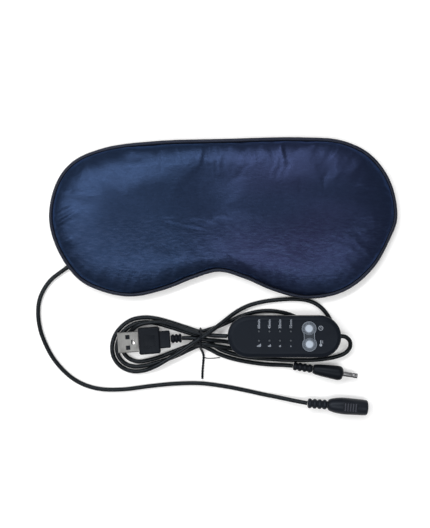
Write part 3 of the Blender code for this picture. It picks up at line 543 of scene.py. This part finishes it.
def plated(name, colour, roughness):
    """Plated metal with faint drawing lines and smudges."""
    look = Look(name, colour, roughness, Metallic=1.0)
    lines = look.noise((4000, 180, 4000), 2.0)
    look.feed("Roughness", look.ramp(look.noise(220, 4.0), roughness * 0.8, roughness * 1.35))
    darker = tuple(channel * 0.8 for channel in colour)
    look.feed("Base Color", look.mix(look.ramp(lines, 0.0, 1.0), colour, darker))
    look.bump(lines, 0.12, 0.03)
    return look.material


def fibres():
    """White fibre wadding."""
    look = Look("fibres", (0.8, 0.8, 0.78), 0.95)
    tangle = look.noise(600, 6.0)
    look.feed("Base Color", look.mix(tangle, (0.66, 0.66, 0.64), (0.86, 0.86, 0.84)))
    look.bump(tangle, 0.8, 0.5)
    return look.material


def floor_finish():
    look = Look("floor", (0.93, 0.93, 0.93), 0.9, Specular_IOR_Level=0.1, Emission_Strength=0.12,
                Emission_Color=(1, 1, 1, 1))
    look.feed("Base Color", look.mix(look.noise(3), (0.92, 0.92, 0.92), (0.94, 0.94, 0.94)))
    return look.material


LOOKS = {
    "satin": satin(),
    "lining": lining(),
    "piping": piping(),
    "elastic": elastic(),
    "wadding": fibres(),
    "cord_black": soft_plastic("cord_pvc", (0.0042, 0.0052, 0.0062), 0.22, 1800, 0.03, gloss=0.16),
    "jack_black": soft_plastic("jack_black", (0.0062, 0.0074, 0.0106), 0.4, gloss=0.16),
    # Grips in a lighter black than the jack they are moulded with: painted highlight on their ridges.
    "grip_painted_highlight": soft_plastic("grip_painted_highlight", (0.030, 0.031, 0.041), 0.42, gloss=0.3),
    "moulded_black": soft_plastic("moulded_black", (0.0036, 0.0044, 0.0064), 0.4, gloss=0.12),
    "black_plastic": soft_plastic("housing_black", (0.006, 0.0078, 0.0118), 0.36, 3200, 0.08, 1.25, 0.08),
    "white_plastic": soft_plastic("white_plastic", (0.7, 0.71, 0.73), 0.4, light=1.08),
    "smoked": soft_plastic("smoked_guide", (0.06, 0.066, 0.075), 0.3, light=1.3),
    "print": soft_plastic("printed_grey", (0.29, 0.32, 0.37), 0.5, light=1.3),
    "button_white": soft_plastic("button_pearl", (0.355, 0.405, 0.475), 0.32, 2400, 0.1, 1.12),
    "silver_plastic": soft_plastic("bezel_dark_silver", (0.012, 0.015, 0.020), 0.32, 2400, 0.1, 1.3),
    "silver_line": soft_plastic("bezel_silver", (0.26, 0.3, 0.36), 0.3, 2400, 0.1, 1.2),
    "heater_film": soft_plastic("polyimide", (0.45, 0.26, 0.06), 0.3, light=1.1),
    "copper": plated("copper", (0.75, 0.38, 0.24), 0.35),
    "red_wire": soft_plastic("red_wire", (0.5, 0.02, 0.02), 0.35, light=1.1),
    "steel": plated("nickel_plate", (0.23, 0.232, 0.228), 0.5),
    "bright_steel": plated("polished_nickel", (0.8, 0.8, 0.79), 0.25),
    "dark_steel": plated("dark_nickel", (0.22, 0.22, 0.23), 0.35),
    "gold": plated("gold_plate", (0.83, 0.62, 0.28), 0.25),
    "circuit_board": soft_plastic("solder_mask", (0.015, 0.15, 0.05), 0.35, light=1.3),
}


# --- camera and cords

def make_camera():
    data = bpy.data.cameras.new("camera")
    data.sensor_fit = "VERTICAL"
    data.sensor_height = 24
    data.lens = 24 * (CAMERA_AT[2] - SEAM_Z) / FRAME_HEIGHT
    data.clip_start = 0.01
    camera = placed("camera", data)
    camera.location = Vector(CAMERA_AT) * MM
    bpy.context.scene.camera = camera


def cord(name, route, node, body, reverse=False):
    """A round cord along a smooth run through its route, with its exit and its length."""
    curve = spline([(*point, FLOOR_Z)[:3] for point in route], steps=14)
    if reverse:
        curve = curve[::-1]
    length = run_length(curve)
    points = spaced(curve, int(length / CORD_POINT_PITCH))
    piece = tube(name, points, CORD_RADIUS, "cord_black", node, body=body, resolution=6)
    return piece, points[0] * MM, length * MM


# --- mask

def rim_curve(count):
    """The sewn edge as evenly spaced points, the same number on each side of the long middle line."""
    steps = 24
    curve = spline(UPPER_EDGE + LOWER_EDGE, closed=True, steps=steps)
    left_end = (len(UPPER_EDGE) - 1) * steps
    upper = spaced(curve[: left_end + 1], count // 2 + 1)
    lower = spaced(curve[left_end:] + curve[:1], count // 2 + 1)
    return upper[:-1] + lower[:-1]


def inset(outline, distance):
    moved = []
    for index, point in enumerate(outline):
        ahead = outline[(index + 1) % len(outline)] - outline[index - 1]
        moved.append(point + Vector((-ahead.y, ahead.x, 0)).normalized() * distance)
    return moved


def plan_point(point, ratio):
    """The way from the long middle line (ratio 0) to a seam point (ratio 1)."""
    middle = max(-SPINE_HALF_LENGTH, min(SPINE_HALF_LENGTH, point.x * SPINE_PULL))
    return (middle + (point.x - middle) * ratio, point.y * ratio)


def front_height(x, _y, ratio):
    sag = BRIDGE_SAG * math.exp(-(x / BRIDGE_HALF_WIDTH) ** 2)
    roll_off = math.sqrt(max(0.0, 1 - ratio ** 3))
    return FRONT_EDGE_Z + (MASK_TOP - 0.2 - sag - FRONT_EDGE_Z) * roll_off


def smooth_step(share):
    share = min(max(share, 0.0), 1.0)
    return share * share * (3 - 2 * share)


def back_height(_x, y, ratio):
    """The back's height, raised over the folded strap."""
    base = STRAP_LIFT * smooth_step((22 - abs(y)) / 8)
    return base + (BACK_EDGE_Z - base) * (1 - math.sqrt(max(0.0, 1 - ratio ** 6)))


# Creases pressed into the satin: from, to, width, height (a negative height is a dent)
CREASES = [
    ((-102, -8), (-84, 3), 1.3, 0.8), ((-102, -10.5), (-85, 0), 1.1, -0.7),
    ((-102, -2.5), (-86, 6.5), 1.2, 0.5), ((-100, -18), (-86, -12), 1.4, 0.6),
    ((-99, -22), (-87, -18.5), 1.2, -0.5), ((-101, -5), (-88, 2), 0.9, -0.5),
    ((-36, -1.2), (-24, -5.2), 0.8, 0.42), ((-25, -5), (-11, -6.6), 0.8, 0.4),
    ((-35, -3.6), (-14, -8.4), 1.5, -0.3), ((-39, 48), (-38.6, 29), 1.4, 0.35),
    ((-13.5, 49), (-14.5, 30), 1.5, 0.45), ((-3.5, 49), (-2.5, 31), 1.3, 0.45),
    ((-9, 49), (-9, 33), 1.4, -0.35), ((14, 49), (18, 31), 1.5, 0.4), ((29, 50), (35, 30), 1.4, 0.6),
    ((26, 50), (29, 30), 1.5, -0.5), ((33, 31.5), (44, 33), 1.4, 0.25), ((5, 48), (12, 31), 1.6, 0.3),
    ((76, 17.5), (100, 16.8), 1.0, 0.55), ((80, 14.5), (101, 14), 1.0, -0.55),
    ((86, 8.5), (102, 9.5), 1.1, -0.5), ((88, 6), (102, 7), 1.0, 0.45), ((84, 11.5), (100, 12), 0.9, 0.35),
    ((-24, 24), (-16, 17), 1.6, 0.12), ((48, -22.5), (58, -24), 1.0, -0.18),
    ((40, -27), (54, -30), 1.2, 0.12), ((-4, -12), (0, -33), 4.5, -0.5), ((-60, 31), (-20, 28), 2.6, 0.2),
    ((-88, 14), (-76, 10), 2.4, 0.3), ((8, -24), (22, -36), 2.2, 0.3),
]


def crease_height(x, y):
    """Height added by the creases at a point in plan."""
    total = 0.0
    for (x0, y0), (x1, y1), width, height in CREASES:
        if abs(x - (x0 + x1) / 2) > 18 or abs(y - (y0 + y1) / 2) > 14:
            continue
        along = ((x - x0) * (x1 - x0) + (y - y0) * (y1 - y0)) / ((x1 - x0) ** 2 + (y1 - y0) ** 2)
        if not -0.1 < along < 1.1:
            continue
        bow = 0.8 * math.sin(math.pi * along)
        length = math.hypot(x1 - x0, y1 - y0)
        off = ((x - x0) * (y1 - y0) - (y - y0) * (x1 - x0)) / length + bow
        taper = smooth_step((along + 0.1) / 0.35) * smooth_step((1.1 - along) / 0.45)
        total += CREASE_SHARE * height * taper * math.exp(-(off / width) ** 2)
    return total


def cover(name, height, lift, count=FRONT_COUNT, ring_count=46):
    """A cover as a fine skin: rings from the long middle line out to the seam, with puckers at the seam."""
    rim = inset(rim_curve(count), COVER_INSET)
    points = []
    for ring in range(ring_count):
        share = (ring + 0.5) / (ring_count - 0.5)
        ratio = min(1.0, 1 - (1 - share) ** 1.25)
        for index, place in enumerate(rim):
            x, y = plan_point(place, ratio)
            spread = 1 - ratio
            around = Vector((place.x, place.y, 7.0)) * 0.16
            pucker = noise.noise(around) + 0.6 * noise.noise(around * 2.3)
            swell = noise.noise(Vector((x * 0.028, y * 0.05, 3.0))) * 0.9
            seam = math.exp(-spread * 13) * (1 - math.exp(-spread * 60))
            relief = 1.5 * pucker * seam + swell * (1 - ratio ** 4) + crease_height(x, y) * (1 - ratio ** 40)
            if relief < 0:
                relief = DENT_LIMIT * math.tanh(relief / DENT_LIMIT)
            points.append((x, y, height(x, y, ratio) + lift * relief))
    faces = bands(ring_count, count)
    half = count // 2
    faces.append((0, 1, count - 1))
    faces.append((half - 1, half, half + 1))
    for index in range(1, half - 1):
        faces.append((index, index + 1, count - index - 1, count - index))
    return mesh_of(name, points, faces, smooth_angle=80)


def blurred(field, reach):
    """The slow part of a field given ring by ring: averaged over neighbours round and across the rings."""
    slow = field
    for _ in range(3):
        slow = sum(np.roll(slow, step, axis=1) for step in range(-reach, reach + 1)) / (2 * reach + 1)
        middle = slow[:reach, ::-1][::-1]
        seam = np.repeat(slow[-1:], reach, axis=0)
        padded = np.concatenate([middle, slow, seam])
        slow = sum(padded[step: step + len(field)] for step in range(2 * reach + 1)) / (2 * reach + 1)
    return slow


def settle(mesh, pinned):
    """Lets the satin's slack find its own folds in a short cloth simulation, and keeps the fine ones."""
    scene = bpy.context.scene
    sheet = placed("satin_settling", mesh)
    sheet.vertex_groups.new(name="seam").add(pinned, 1.0, "REPLACE")
    cloth = sheet.modifiers.new("cloth", "CLOTH")
    for setting, value in SATIN_CLOTH.items():
        setattr(cloth.settings, setting, value)
    cloth.settings.effector_weights.gravity = 0
    cloth.collision_settings.use_collision = False
    cloth.point_cache.frame_start = 1
    cloth.point_cache.frame_end = SETTLING_FRAMES
    for moment in range(1, SETTLING_FRAMES + 1):
        scene.frame_set(moment)
        bpy.context.view_layer.update()
    settled = sheet.evaluated_get(bpy.context.evaluated_depsgraph_get()).data
    start, end = (np.empty(len(mesh.vertices) * 3) for _ in range(2))
    mesh.vertices.foreach_get("co", start)
    settled.vertices.foreach_get("co", end)
    move = (end - start).reshape(-1, FRONT_COUNT, 3)
    folds = move - blurred(move, FOLD_REACH)
    folds = FOLD_LIMIT * np.tanh(folds * FOLD_SHARE / FOLD_LIMIT)
    places = start.reshape(-1, FRONT_COUNT, 3) / MM
    from_end = np.hypot(np.abs(places[..., :1]) - SPINE_HALF_LENGTH, places[..., 1:2])
    folds *= np.clip(from_end / CALM_RADIUS - 0.3, 0, 1)
    bpy.data.objects.remove(sheet)
    mesh.vertices.foreach_set("co", start + folds.ravel())
    mesh.update()
    scene.frame_set(1)


def cover_piece(name, mesh, finish, node):
    """A cover's piece, as thick as its cloth, that stands for its CAD node."""
    piece = link(name, mesh, finish, "mask", finish)
    solidify = piece.modifiers.new("cloth", "SOLIDIFY")
    solidify.thickness = CLOTH_THICKNESS * MM
    solidify.offset = -1
    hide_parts(node)
    return piece


def make_covers():
    front = cover("satin_front", front_height, 1.0)
    rings = len(front.vertices) // FRONT_COUNT
    settle(front, list(range((rings - 1) * FRONT_COUNT, rings * FRONT_COUNT)))
    front_piece = cover_piece("satin_front", front, "satin", "front_cover")
    back = cover("lining_back", back_height, 0.15, count=280, ring_count=30)
    back_piece = cover_piece("lining_back", back, "lining", "back_cover")


def make_piping():
    """The piping's round bead, slightly uneven."""
    rim = inset(rim_curve(480), BEAD_RADIUS)

    def radius(point):
        return BEAD_RADIUS * (0.97 + 0.05 * noise.noise(point * 0.35))

    mesh = bead("piping_bead", rim, SEAM_Z, radius, 14, smooth_angle=80)
    link("piping_bead", mesh, "piping", "mask", "piping", "edge_piping")


def make_strap():
    """One ribbed elastic, sewn on at both ends and folded in three under the mask."""
    half = STRAP_THICKNESS / 2
    low, middle, high = half, half + STRAP_PITCH, half + 2 * STRAP_PITCH
    fold = STRAP_PITCH / 2
    path = [(-88, high), *arc(-100.6, middle, STRAP_PITCH, 90, 270)]
    path += [(-60, low), (-20, low), (20, low), *arc(60, low + fold, fold, -90, 90)]
    path += [(30, middle), (0, middle), *arc(-30, middle + fold, fold, -90, -270)]
    path += [(0, high), (35, high), (70, high), (77, middle), (84, low)]
    path += [*arc(97.0, middle, STRAP_PITCH, -90, 90), (90, high)]
    line = [Vector(point) for point in path]
    width = STRAP_WIDTH / 2
    across = [width * (2 * step / 10 - 1) for step in range(11)]
    rings = []
    for index, point in enumerate(line):
        ahead = (line[min(index + 1, len(line) - 1)] - line[max(index - 1, 0)]).normalized()
        side = Vector((-ahead.y, ahead.x)) * (half - 0.05)
        top = [(point.x + side.x, y, point.y + side.y) for y in across]
        bottom = [(point.x - side.x, y, point.y - side.y) for y in reversed(across)]
        rings.append(top + bottom)
    band = lofted("elastic_strap", rings)
    piece = link("elastic_strap", band, "elastic", "mask", "elastic", "strap_band")


# --- controller

def stadium(inset_by, steps=28):
    """The controller's outline in plan, moved inwards."""
    radius = BOX_WIDTH / 2 - inset_by
    reach = (BOX_LENGTH - BOX_WIDTH) / 2
    points = []
    for sign, first in ((1, -90), (-1, 90)):
        points += arc(BOX_CENTRE[0] + sign * reach, BOX_CENTRE[1], radius, first, first + 180, steps)
    return points


def shell_mesh(name, levels):
    """A housing half as a skin over (height, inset) levels."""
    rings = [[(x, y, height) for x, y in stadium(inset_by)] for height, inset_by in levels]
    return lofted(name, rings, smooth_angle=30)


def cord_entries():
    """Round cutters where the cords go into the housing's ends."""
    entries = []
    for end in (-1, 1):
        place = Vector((BOX_CENTRE[0] + end * BOX_LENGTH / 2, BOX_CENTRE[1], CORD_ENTRY_Z))
        hole = turned("entry", [(-3, CORD_HOLE_RADIUS), (3, CORD_HOLE_RADIUS)], sides=24)
        entries.append(transformed(hole, Matrix.Translation(place * MM)))
    return entries


def dumbbell(radius, waist_half, steps=26):
    """Outline of two circles at the buttons, joined by a waist with soft corners."""
    timer, heat = (Vector(BUTTONS[name]) for name in ("timer", "heat"))
    along = (timer - heat).normalized()
    lean = math.degrees(math.atan2(along.y, along.x))
    gap = math.degrees(math.asin(waist_half / radius))
    points = []
    for centre, facing in ((timer, lean), (heat, lean + 180)):
        points += arc(centre.x, centre.y, radius, facing - 180 + gap, facing + 180 - gap, steps)
    return points


def make_housing():
    bottom = shell_mesh("housing_bottom", [
        (4.1, 2.2), (4.8, 1.2), (7.1, 1.2), (7.1, 0.15), (6.95, 0.0), (4.6, 0.0), (4.0, 0.2), (3.3, 0.8),
        (2.95, 1.9), (2.9, 3.0)])
    bottom = carved("housing_bottom", bottom, cord_entries())
    link("housing_bottom", bottom, "black_plastic", "control_lead", "black_plastic", "controller_bottom")
    top = shell_mesh("housing_top", [
        (12.2, 3.0), (11.7, 1.8), (10.8, 1.2), (7.4, 1.2), (7.4, 0.15), (7.55, 0.0), (10.6, 0.0),
        (11.6, 0.08), (12.1, 0.22), (12.45, 0.5), (12.7, 0.9), (13.05, 1.75), (13.2, 2.05), (13.33, 2.3),
        (13.39, 2.6), (BOX_TOP, 3.2)])
    cutters = cord_entries()
    cutters += [post("hole", x, y, BUTTON_RADIUS + 0.3, 10, 15) for x, y in BUTTONS.values()]
    for y in LIGHT_ROWS.values():
        cutters += [post("pip", x, y, PIP_RADIUS, 10, 15, 16) for x in LIGHT_X]
    cutters.append(prism("seat", dumbbell(4.5, 3.35), BOX_TOP - 0.4, 15))
    top = carved("housing_top", top, cutters)
    link("housing_top", top, "black_plastic", "control_lead", "black_plastic", "controller_top")


def make_buttons():
    profile = [(11.2, 3.0), (11.9, 3.0), (11.9, 2.3), (13.8, 2.3), (14.0, 2.22), (14.12, 2.0), (14.18, 1.4),
               (14.2, 0.6), (14.2, 0.05)]
    for button, (x, y) in BUTTONS.items():
        name = f"pearl_{button}_button"
        rings = [[(px, py, z) for px, py in circle(radius, 48, x, y)] for z, radius in profile]
        cap = lofted(name, rings)
        link(name, cap, "button_white", f"{button}_button", "button_white", f"button_{button}")


def make_bezel():
    """A bezel plate with raised silver lines: one round both buttons, and two rings round each."""
    levels = [(dumbbell(4.3, 3.2), BOX_TOP - 0.1), (dumbbell(4.3, 3.2), BOX_TOP + 0.28),
              (dumbbell(4.2, 3.1), BOX_TOP + BEZEL_RISE)]
    plate = lofted("bezel_plate", [[(x, y, z) for x, y in outline] for outline, z in levels])
    holes = [post("hole", x, y, BUTTON_RADIUS + 0.12, 10, 16) for x, y in BUTTONS.values()]
    plate = carved("bezel_plate", plate, holes)
    link("bezel_plate", plate, "silver_plastic", "control_lead", "silver_plastic", "button_bezel")
    lines = [(dumbbell(4.02, 3.0), 0.12)]
    for x, y in BUTTONS.values():
        lines += [(circle(3.45, 48, x, y), 0.08), (circle(2.78, 48, x, y), 0.12)]
    meshes = []
    for outline, radius in lines:
        path = [Vector((x, y, 0)) for x, y in outline]
        meshes.append(bead("line", path, BOX_TOP + BEZEL_RISE, lambda point, size=radius: size, 8))
    link("bezel_lines", merged("bezel_lines", meshes), "silver_line", "control_lead", "silver_plastic")


def lettering(body, size, x, y, turn):
    """A number or unit printed on the housing, centred on a point."""
    data = bpy.data.curves.new("text", "FONT")
    data.body = body
    data.size = size * MM
    data.extrude = 0.015 * MM
    data.align_x = "CENTER"
    data.align_y = "CENTER"
    holder = placed("text", data)
    mesh = evaluated(holder)
    bpy.data.objects.remove(holder)
    place = Matrix.Translation(Vector((x, y, BOX_TOP + 0.02)) * MM)
    return transformed(mesh, place @ Matrix.Rotation(math.radians(turn), 4, "Z"))


def stroke(x0, y0, x1, y1, width):
    """A printed bar between two points."""
    start, end = Vector((x0, y0)), Vector((x1, y1))
    ahead = (end - start).normalized()
    side = Vector((-ahead.y, ahead.x)) * width / 2
    outline = [start + side, start - side, end - side, end + side]
    return prism("stroke", outline, BOX_TOP - 0.01, BOX_TOP + 0.03)


def ring_print(x, y, radius, width):
    """A printed ring."""
    rings = []
    for size, z in ((radius, 0.03), (radius - width, 0.03), (radius - width, -0.01), (radius, -0.01)):
        rings.append([(px, py, BOX_TOP + z) for px, py in circle(size, 28, x, y)])
    return lofted("ring", rings, closed=True)


def make_print():
    """Minutes beside the timer lamps, level bars beside the heat lamps, and a clock and a thermometer."""
    marks = []
    for x, minutes in zip(LIGHT_X, ("60", "45", "30", "15")):
        marks.append(lettering(minutes + "min", 2.15, x, -62.0, 90))
    for x, level in zip(LIGHT_X, (4, 3, 2, 1)):
        for bar in range(level):
            across = x + (bar - (level - 1) / 2) * 0.62
            marks.append(stroke(across, -75.2, across, -75.2 + 0.7 + 0.35 * bar, 0.34))
    clock_x, clock_y = 55.9, -64.4
    marks += [ring_print(clock_x, clock_y, 1.35, 0.28),
              stroke(clock_x, clock_y, clock_x, clock_y + 0.85, 0.25),
              stroke(clock_x, clock_y, clock_x + 0.6, clock_y, 0.25),
              ring_print(clock_x, -74.2, 0.75, 0.55), stroke(clock_x, -73.8, clock_x, -71.4, 0.45),
              stroke(57.0, -73.2, 57.0, -71.6, 0.22)]
    link("controller_print", merged("controller_print", marks), "print", "control_lead", "white_plastic")


# --- connectors

def ribs(start, pitch, count, core, bulge):
    """A ribbed sleeve with rounded bulges and narrow grooves."""
    profile = [(start, core * 0.7), (start + 0.02, core)]
    for rib in range(count):
        at = start + rib * pitch
        for share in (0.06, 0.14, 0.26, 0.4, 0.54, 0.66, 0.74, 0.82, 0.94):
            bump = max(0.0, math.sin(math.pi * min(1.0, share / 0.8))) ** 0.5
            profile.append((at + share * pitch, core + (bulge - core) * bump))
    profile.append((start + count * pitch - 0.02, core))
    profile.append((start + count * pitch, core * 0.7))
    return profile


def fitted(name, mesh, place, finish, *nodes, slot="cord_black"):
    """A connector's piece at its place. The jack is on the mask's cord, and the plugs are on the lead."""
    body = "mask" if place is JACK_PLACE else "control_lead"
    return link(name, transformed(mesh, attitude(place)), finish, body, slot, *nodes)


def make_jack():
    """The DC jack, with a ribbed relief, and grips in a shallow pocket."""
    relief = turned("jack_relief", ribs(0, 2.9, 4, 2.1, 2.9))
    pieces = [fitted("jack_relief", relief, JACK_PLACE, "jack_black", "dc_jack_strain_relief")]
    profile = [(11.9, 2.5), (12.1, 3.0), (12.8, 3.45), (14, 3.85), (15.5, 4.2), (17.5, 4.55), (20, 4.82),
               (23, 4.87), (28, 4.72), (32, 4.6), (33.6, 4.5), (34.4, 4.36), (34.9, 4.05), (35.1, 3.6),
               (35.1, 2.6), (35.0, 2.45), (25.0, 2.45), (25.0, 0.9), (23.6, 0.9), (23.6, 0.05)]
    body = turned("jack_body", profile, sides=64)
    body = carved("jack_body", body, [block("pocket", (20.4, -2.7, 3.85), (28.9, 2.7, 6))])
    pieces.append(fitted("jack_body", body, JACK_PLACE, "jack_black", "dc_jack_housing"))
    starts = [21.2 + 1.55 * step for step in range(5)]
    # The grips take the lighter black finish, a painted highlight on the ridges.
    grips = [block("grip", (x, -2.3, 3.6), (x + 0.7, 2.3, 4.84), 0.3, 4) for x in starts]
    pieces.append(fitted("jack_grips", merged("jack_grips", grips), JACK_PLACE, "grip_painted_highlight"))
    return pieces + ["dc_jack_sleeve", "dc_jack_pin"]


def make_plug():
    """The DC plug: ribbed relief, tapered mould and a barrel with a groove near its tip."""
    relief = turned("plug_relief", ribs(0, 2.85, 4, 1.9, 2.5))
    pieces = [fitted("plug_relief", relief, PLUG_PLACE, "moulded_black", "dc_plug_strain_relief")]
    profile = [(11.7, 2.1), (11.8, 2.4), (12.4, 2.75), (13.5, 3.05), (15.5, 3.35), (19, 3.7), (23, 4.03),
               (26.0, 4.22), (27.2, 4.2), (28.0, 3.95), (28.7, 3.5), (29.1, 3.0), (29.3, 2.4), (29.3, 1.9),
               (29.3, 0.05)]
    body = turned("plug_body", profile, sides=64)
    pieces.append(fitted("plug_body", body, PLUG_PLACE, "moulded_black", "dc_plug_overmould"))
    tip = [(29.6, 1.45), (34.6, 1.48), (34.8, 1.36), (35.3, 1.36), (35.5, 1.5), (36.9, 1.5), (37.0, 1.42),
           (37.2, 1.5), (37.7, 1.44), (37.9, 1.3), (37.9, 1.15), (37.5, 1.1), (29.6, 1.1)]
    barrel = turned("plug_barrel", tip, sides=40, closed=True)
    pieces.append(fitted("plug_barrel", barrel, PLUG_PLACE, "dark_steel", "dc_plug_barrel", slot="steel"))
    return pieces + ["dc_plug_insulator"]


def make_usb():
    """The USB plug: ribbed relief, stepped mould, metal shell, and what shows through the shell's slot."""
    relief = turned("usb_relief", ribs(0, 2.15, 3, 1.9, 2.65))
    pieces = [fitted("usb_relief", relief, USB_PLACE, "moulded_black", "usb_strain_relief")]
    main = block("main", (12.8, -7.8, -4), (25.4, 7.8, 4), 1.5, 5)
    pockets = [block("panel", (15.4, -3.6, 3.75), (22.2, 3.6, 5)),
               block("groove", (24.0, -9, -5), (24.35, 9, -3.7)),
               block("groove", (24.0, -9, 3.75), (24.35, 9, 5))]
    main = carved("main", main, pockets)
    neck = block("neck", (6.8, -5, -3), (14.5, 5, 3), 0.9, 4)
    plate = block("plate", (15.8, -3.2, 3.4), (21.8, 3.2, 3.86), 0.1, 2)
    mould = merged("usb_mould", [main, neck, plate])
    pieces.append(fitted("usb_mould", mould, USB_PLACE, "moulded_black", "usb_overmould"))
    pieces.append(fitted("usb_shell_fine", usb_shell(), USB_PLACE, "steel", "usb_shell", slot="steel"))
    catch = block("usb_catch", (27.75, -1.2, 2.0), (28.75, 1.2, 2.34), 0.08, 2)
    fitted("usb_catch", catch, USB_PLACE, "bright_steel", slot="steel")
    # A dark block over the contacts under the windows: painted shade, so the shell's inside reads dark
    # through the windows.
    window_painted_shade = block("usb_window_painted_shade", (25.9, -5.3, 0.9), (33.4, 5.3, 1.5), 0.15, 2)
    fitted("usb_window_painted_shade", window_painted_shade, USB_PLACE, "moulded_black", slot="black_plastic")
    return pieces + ["usb_tongue", "usb_contact_1", "usb_contact_2", "usb_contact_3", "usb_contact_4"]


def rounded_rectangle(x, half_width, half_height, radius, steps=5):
    """A ring across the local X axis."""
    points = []
    corners = ((1, 1, 0), (-1, 1, 90), (-1, -1, 180), (1, -1, 270))
    for side, up, first in corners:
        middle = (side * (half_width - radius), up * (half_height - radius))
        points += [(x, y, z) for y, z in arc(*middle, radius, first, first + 90, steps)]
    return points


def usb_shell():
    """A folded metal tube with rounded edges, two square windows and a small slot."""
    back, front, wall = 25.7, 37.6, 0.35
    rings = [rounded_rectangle(back, 6, 2.25, 0.7), rounded_rectangle(front - 0.15, 6, 2.25, 0.7),
             rounded_rectangle(front, 5.88, 2.13, 0.6), rounded_rectangle(front, 6 - wall, 2.25 - wall, 0.45),
             rounded_rectangle(back, 6 - wall, 2.25 - wall, 0.45)]
    shell = lofted("usb_shell", rings, closed=True)
    cutters = [block("window", (30.4, y - 1.25, -4), (32.9, y + 1.25, 4), 0.15, 2) for y in (-3.1, 3.1)]
    cutters.append(block("slot", (27.6, -1.3, 1), (29.6, 1.3, 4), 0.1, 2))
    cutters.append(block("seam", (25, -0.06, -4), (38, 0.06, -1)))
    return carved("usb_shell", shell, cutters)


# --- twist tie

def make_tie():
    """The tie: a ring round the bundle, a tail of two twisted strands, and a thin end."""
    ring = [Vector((TIE_X + 0.25 * math.sin(index * 0.35), point.x, point.y))
            for index, point in enumerate(spline(TIE_LOOP, closed=True, steps=4))]
    tube("tie_ring", ring, 0.45, "moulded_black", "twist_tie", cyclic=True, resolution=5)
    axis = spaced(spline(TIE_TAIL), 90)
    for strand in range(2):
        points = []
        for index, point in enumerate(axis):
            ahead = (axis[min(index + 1, len(axis) - 1)] - axis[max(index - 1, 0)]).normalized()
            side = ahead.cross(Vector((0, 0, 1))).normalized()
            up = side.cross(ahead)
            turn = index * STRAND_TWIST + strand * math.pi
            points.append(point + STRAND_OFFSET * (math.cos(turn) * side + math.sin(turn) * up))
        tube(f"tie_strand_{strand + 1}", points, STRAND_RADIUS, "moulded_black")
    tube("tie_thin_end", spaced(spline(TIE_THIN_TAIL), 24), 0.25, "moulded_black")


# --- carried-over CAD nodes

def finish_cad_nodes():
    """Detailed materials for the CAD nodes that stay."""
    slots = {part["node"]: part["material_slot"] for part in frame["record"]["subparts"]}
    for name, node in frame["nodes"].items():
        look = LOOKS["smoked" if name.startswith("light_guide") else slots[name]]
        for slot in node.material_slots:
            slot.material = look
        if not node.material_slots:
            node.data.materials.append(look)


# --- stage

FLOOR_REACH = 9.0  # metres from the middle to each side
SKY_STRENGTH = 0.33


def soft_light(name, at, width, depth, power, aim_y=-0.02):
    """A rectangular light that faces the object."""
    data = bpy.data.lights.new(name, "AREA")
    data.shape = "RECTANGLE"
    data.size = width
    data.size_y = depth
    data.energy = power
    light = placed(name, data)
    light.location = at
    light.rotation_euler = (Vector((0, aim_y, 0)) - Vector(at)).to_track_quat("-Z", "Y").to_euler()


def make_stage():
    """A pale floor, an even sky and three soft lights, in metres and watts."""
    mesh = bpy.data.meshes.new("floor")
    corners = [(x * FLOOR_REACH, y * FLOOR_REACH, 0) for x, y in ((-1, -1), (1, -1), (1, 1), (-1, 1))]
    mesh.from_pydata(corners, [], [(0, 1, 2, 3)])
    mesh.materials.append(floor_finish())
    floor = placed("floor", mesh)
    floor.location.z = -0.1 * MM
    world = bpy.data.worlds.new("studio")
    world.use_nodes = True
    sky = world.node_tree.nodes["Background"]
    sky.inputs["Color"].default_value = (1, 1, 1, 1)
    sky.inputs["Strength"].default_value = SKY_STRENGTH
    bpy.context.scene.world = world
    bpy.context.scene.view_settings.view_transform = "Standard"
    soft_light("light_front", (0.0, -0.31, 0.86), 1.1, 0.28, 4.0)
    soft_light("light_back", (-0.26, 0.44, 0.80), 1.15, 0.22, 6.6)
    soft_light("light_left", (-0.62, -0.05, 0.72), 0.25, 0.6, 1.1, aim_y=-0.04)


make_camera()
mask_cord, mask_exit, mask_length = cord("mask_cord_pvc", MASK_CORD_ROUTE, "mask_cord", "mask")
usb_cord, usb_exit, usb_length = cord("usb_cord_pvc", USB_CORD_ROUTE, "usb_cord", "control_lead",
                                      reverse=True)
output_cord, output_exit, output_length = cord("output_cord_pvc", OUTPUT_CORD_ROUTE, "output_cord",
                                               "control_lead")
jack_pieces = make_jack()
plug_pieces = make_plug()
usb_pieces = make_usb()
make_covers()
make_piping()
make_strap()
make_housing()
make_buttons()
make_bezel()
make_print()
make_tie()
finish_cad_nodes()
make_stage()
